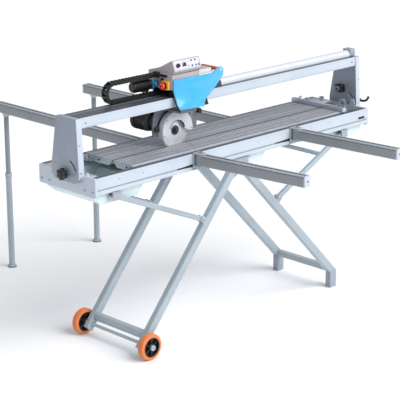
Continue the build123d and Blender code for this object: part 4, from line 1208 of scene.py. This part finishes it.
class TILESAW_OT_wheels(bpy.types.Operator):
    """Stand wheels: moulded tyre, spoked hub with bearing, and the axle's nut caps"""
    bl_idname = "tilesaw.wheels"
    bl_label = "Stand wheels"

    def execute(self, context):
        spokes = context.scene.tilesaw_sizes.spokes
        for end, out in (("front", -1), ("rear", 1)):
            low, high = span(f"wheel_{end}_tyre")
            mid, radius, half = (low + high) / 2, (high.z - low.z) / 2, (high.y - low.y) / 2
            body, rim, y = f"wheel_{end}", 47.0, (low.y + high.y) / 2
            tread = [(y - half, rim), (y - half, radius - 8), (y - half + 2, radius - 3.5),
                     (y - half + 6, radius - 0.8), (y - 6.5, radius), (y - 5.5, radius - 1.6),
                     (y - 4.5, radius), (y + 4.5, radius), (y + 5.5, radius - 1.6), (y + 6.5, radius),
                     (y + half - 6, radius - 0.8), (y + half - 2, radius - 3.5), (y + half, radius - 8),
                     (y + half, rim)]
            piece(f"{end}_tyre", Shape().turned("y", tread, mid.x, mid.z, 72), body,
                  "polyurethane_tyre", [f"wheel_{end}_tyre"])
            ring = [(y - half, rim), (y - half, 42), (y - half + 1, 41), (y - 3, 40), (y + 3, 40),
                    (y + half - 1, 41), (y + half, 42), (y + half, rim)]
            hub = Shape().turned("y", ring, mid.x, mid.z, 72)
            boss = [(y - half, 8.1), (y - half, 15), (y - half + 1.5, 17), (y + half - 1.5, 17),
                    (y + half, 15), (y + half, 8.1)]
            hub.turned("y", boss, mid.x, mid.z, 48)
            hub.turned("y", [(y - 2, 16), (y - 2, 41), (y + 2, 41), (y + 2, 16)], mid.x, mid.z, 60)
            for k in range(spokes):
                put = around("y", mid.x, mid.z, math.tau * k / spokes)
                hub.block(mid.x - 3.2, mid.x + 3.2, y - half + 4, y + half - 4, mid.z + 15, mid.z + 41.5,
                          1.4, put)
            piece(f"{end}_hub", hub, body, "abs_black", [f"wheel_{end}_hub"])
            bearing = [(y + out * half, 8.2), (y + out * (half + 0.8), 8.6), (y + out * (half + 0.8), 12),
                       (y + out * half, 12.5)]
            piece(f"{end}_bearing", Shape().turned("y", bearing, mid.x, mid.z, 40), body,
                  "zinc_plate")
        return {"FINISHED"}


# ---- side supports ----

class TILESAW_OT_arms(bpy.types.Operator):
    """Front swing arms in their brackets, and rear arms on telescopic legs"""
    bl_idname = "tilesaw.arms"
    bl_label = "Support arms"

    def execute(self, context):
        sizes = context.scene.tilesaw_sizes
        for side in ("left", "right"):
            self.front_arm(f"front_arm_{side}", f"front_arm_{side[0]}", side)
        rounded("swing_brackets", "front_arm_brackets", sizes.casting_round, "frame",
                "powder_coat_silver")
        bolts = Shape()
        for arm in ("front_arm_left", "front_arm_right"):
            x = TILESAW_OT_base.pivot(arm)
            socket_screw(bolts, "z", 906, 1, x, ARM_PIVOT_Y, 9, 4)
            for dx, z in ((-17, 828), (17, 828), (-17, 841), (17, 841)):
                socket_screw(bolts, "y", -196, -1, x + dx, z, 4, 2.6)
        piece("bracket_bolts", bolts, "frame", "zinc_plate")
        self.rear()
        return {"FINISHED"}

    @staticmethod
    def front_arm(node, body, side):
        """The arm is drawn along Y and turned by its splay about the pivot."""
        low, high = span(node)
        x = TILESAW_OT_base.pivot(node)
        y, z0, z1 = ARM_PIVOT_Y, low.z, high.z
        splay = math.radians({"left": 7.0, "right": 5.0}[side])
        length, half = 585.0, ARM_HALF
        put = around("z", x, y, splay)
        tube = Shape().block(x - half, x + half, y - length + 7, y - 2, z0, z1, 4, put, steps=3)
        tube.rod("z", z0, z1, half, x, y, 1.5, 40)
        for off in (-11, 11):
            tube.block(x + off - 1.2, x + off + 1.2, y - length + 7, y - 26, z1 - 1, z1 + 0.7, 0.4, put)
        piece(f"{node}_tube", tube, body, "powder_coat_arm", [node],
              up="anodised_bright_and_highlight")
        strip = Shape().block(x - 4, x + 4, y - length + 12, y - 30, z1 - 0.5, z1 + 0.6, 0.3, put)
        strip.block(x - half - 0.4, x - half + 1, y - length + 8, y - 28, z1 - 7, z1 - 5.4, 0.2, put)
        piece(f"{node}_strip", strip, body, "black_rubber")
        cap = Shape().block(x - half, x + half, y - length, y - length + 8, z0, z1, 2.4, put, steps=3)
        piece(f"{node}_end_cap", cap, body, "powder_coat_pale")
        plug = Shape().turned("y", [(y - length - 0.6, 0), (y - length - 0.6, 4.5), (y - length + 1, 5.5),
                                    (y - length + 1, 0)], x, (z0 + z1) / 2, 24, put=put)
        piece(f"{node}_plug", plug, body, "abs_black")

    @staticmethod
    def rear():
        """Fixed rear arms on legs that slide out below them."""
        low, high = span("rear_arms")
        half, end = ARM_HALF, high.y
        arms, strips, caps = Shape(), Shape(), Shape()
        z1, z0, start, leg_y = high.z, high.z - 50, low.y, 1225.0
        for x in (-300, 300):
            arms.block(x - half, x + half, start, end - 6, z0, z1, 4, steps=3)
            arms.rod("z", low.z, z0 + 2, 13, x, leg_y, 0.8, 40)
            for off in (-11, 11):
                arms.block(x + off - 1.2, x + off + 1.2, start + 4, end - 8, z1 - 1, z1 + 0.7, 0.4)
            strips.block(x - 4, x + 4, start + 4, end - 12, z1 - 0.5, z1 + 0.6, 0.3)
            strips.block(x - half - 0.4, x - half + 1, start + 4, end - 8, z1 - 7, z1 - 5.4, 0.2)
            caps.block(x - half, x + half, end - 7, end, z0, z1, 2.4, steps=3)
            caps.turned("z", [(z0 - 16, 13), (z0 - 16, 17), (z0 - 1, 20), (z0 + 1, 20), (z0 + 1, 13)], x,
                        leg_y, 40)
        piece("rear_arm_tubes", arms, "frame", "powder_coat_arm", ["rear_arms"],
              up="anodised_bright_and_highlight")
        piece("rear_arm_strips", strips, "frame", "black_rubber")
        piece("rear_arm_caps", caps, "frame", "powder_coat_pale")
        for side in ("left", "right"):
            node = f"rear_foot_{side}"
            low, high = span(node)
            x, y = (low.x + high.x) / 2, (low.y + high.y) / 2
            wall = [(10, 13.1), (10, 16), (high.z - 22, 16), (high.z - 20, 18.5), (high.z - 2, 18.5),
                    (high.z, 17.5), (high.z, 13.1)]
            leg = Shape().turned("z", wall, x, y, 40)
            leg.turned("z", [(3, 0), (3, 22), (5, 23.5), (9, 23), (13, 17), (13, 0)], x, y, 40)
            for k in range(7):
                socket_screw(leg, "y", y - 15.8, -1, x, high.z - 60 - 50 * k, 3, 1.2)
            piece(f"telescopic_{node}", leg, f"foot_{side[0]}", "powder_coat_silver", [node])
            pad = Shape().turned("z", [(0, 0), (0, 23), (1, 24), (4, 24), (4, 0)], x, y, 40)
            piece(f"rubber_{node}", pad, f"foot_{side[0]}", "black_rubber")


# ---- stage ----

class TILESAW_OT_finishes(bpy.types.Operator):
    """Makes every finish that the saw's pieces are painted with"""
    bl_idname = "tilesaw.finishes"
    bl_label = "Finishes"

    def execute(self, context):
        make_finishes(context.scene.tilesaw_colours)
        return {"FINISHED"}


class TILESAW_OT_stage(bpy.types.Operator):
    """Pale floor, soft studio light and the camera"""
    bl_idname = "tilesaw.stage"
    bl_label = "Stage"

    def execute(self, context):
        scene = context.scene
        bm = bmesh.new()
        bmesh.ops.create_grid(bm, x_segments=1, y_segments=1, size=40)
        floor_mesh = bpy.data.meshes.new("studio_floor")
        bm.to_mesh(floor_mesh)
        bm.free()
        floor = bpy.data.objects.new("studio_floor", floor_mesh)
        scene.collection.objects.link(floor)
        paper = bpy.data.materials.new("pale_paper")
        paper.use_nodes = True
        shade = paper.node_tree.nodes["Principled BSDF"]
        shade.inputs["Base Color"].default_value = linear("FBFBFC")
        shade.inputs["Roughness"].default_value = 0.9
        floor_mesh.materials.append(paper)
        self.lights(scene)
        self.camera(scene)
        return {"FINISHED"}

    @staticmethod
    def lights(scene):
        """Pale world, dimmer to the saw than to the camera, and one wide soft sun."""
        world = bpy.data.worlds.new("studio")
        scene.world = world
        world.use_nodes = True
        sky = world.node_tree.nodes["Background"]
        sky.inputs["Color"].default_value = linear("F8FAFF")
        seen = add(world.node_tree, "ShaderNodeLightPath").outputs["Is Camera Ray"]
        strength = add(world.node_tree, "ShaderNodeMapRange", {"Value": seen, "To Min": 0.53,
                "To Max": 0.98})
        world.node_tree.links.new(strength.outputs[0], sky.inputs["Strength"])
        key = bpy.data.lights.new("key", "SUN")
        key.energy, key.angle = 2.95, math.radians(50)
        made = bpy.data.objects.new("key", key)
        made.rotation_euler = Vector((-0.3, 1.0, -0.9)).to_track_quat("-Z", "Y").to_euler()
        scene.collection.objects.link(made)
        scene.view_settings.view_transform = "Standard"

    @staticmethod
    def camera(scene):
        """Camera in front of the saw, aimed by yaw, pitch and roll."""
        yaw, pitch, roll = math.radians(45.25), math.radians(16.94), math.radians(-0.17)
        aim, distance = Vector((-0.1, MID_Y, 0.5894)), 7.2586
        ahead = Vector((math.cos(yaw) * math.cos(pitch), math.sin(yaw) * math.cos(pitch), -math.sin(pitch)))
        lens = bpy.data.cameras.new("view")
        lens.sensor_width, lens.lens = 36.0, 136.8
        camera = bpy.data.objects.new("view", lens)
        camera.location = aim - ahead * distance
        turned = ahead.to_track_quat("-Z", "Y").to_matrix() @ Matrix.Rotation(roll, 3, "Z")
        camera.rotation_euler = turned.to_euler()
        scene.collection.objects.link(camera)
        scene.camera = camera


STEPS = ("finishes", "base", "tray", "table", "bridge", "chain", "head", "controls", "feed", "cutting",
         "blade", "fence", "stand", "wheels", "arms", "stage")


class TILESAW_PT_panel(bpy.types.Panel):
    """Lists the saw's settings and the operators that build it"""
    bl_idname = "TILESAW_PT_panel"
    bl_label = "Wet tile saw"
    bl_space_type = "VIEW_3D"
    bl_region_type = "UI"
    bl_category = PANEL_TAB

    def draw(self, context):
        for group in (context.scene.tilesaw_colours, context.scene.tilesaw_sizes):
            for key in group.__annotations__:
                self.layout.prop(group, key)
        for step in STEPS:
            self.layout.operator(f"tilesaw.{step}")


CLASSES = (TILESAW_PG_colours, TILESAW_PG_sizes, TILESAW_OT_finishes, TILESAW_OT_base, TILESAW_OT_tray,
           TILESAW_OT_table, TILESAW_OT_bridge, TILESAW_OT_chain, TILESAW_OT_head, TILESAW_OT_controls,
           TILESAW_OT_feed, TILESAW_OT_cutting, TILESAW_OT_blade, TILESAW_OT_fence, TILESAW_OT_stand,
           TILESAW_OT_wheels, TILESAW_OT_arms, TILESAW_OT_stage, TILESAW_PT_panel)


def register():
    """Adds the classes and the scene settings."""
    for kind in CLASSES:
        bpy.utils.register_class(kind)
    bpy.types.Scene.tilesaw_colours = bpy.props.PointerProperty(type=TILESAW_PG_colours)
    bpy.types.Scene.tilesaw_sizes = bpy.props.PointerProperty(type=TILESAW_PG_sizes)


def unregister():
    """Takes the scene settings and the classes away."""
    del bpy.types.Scene.tilesaw_colours, bpy.types.Scene.tilesaw_sizes
    for kind in reversed(CLASSES):
        bpy.utils.unregister_class(kind)


def main():
    """Builds the saw step by step."""
    register()
    for step in STEPS:
        getattr(bpy.ops.tilesaw, step)()


if __name__ == "__main__":
    main()
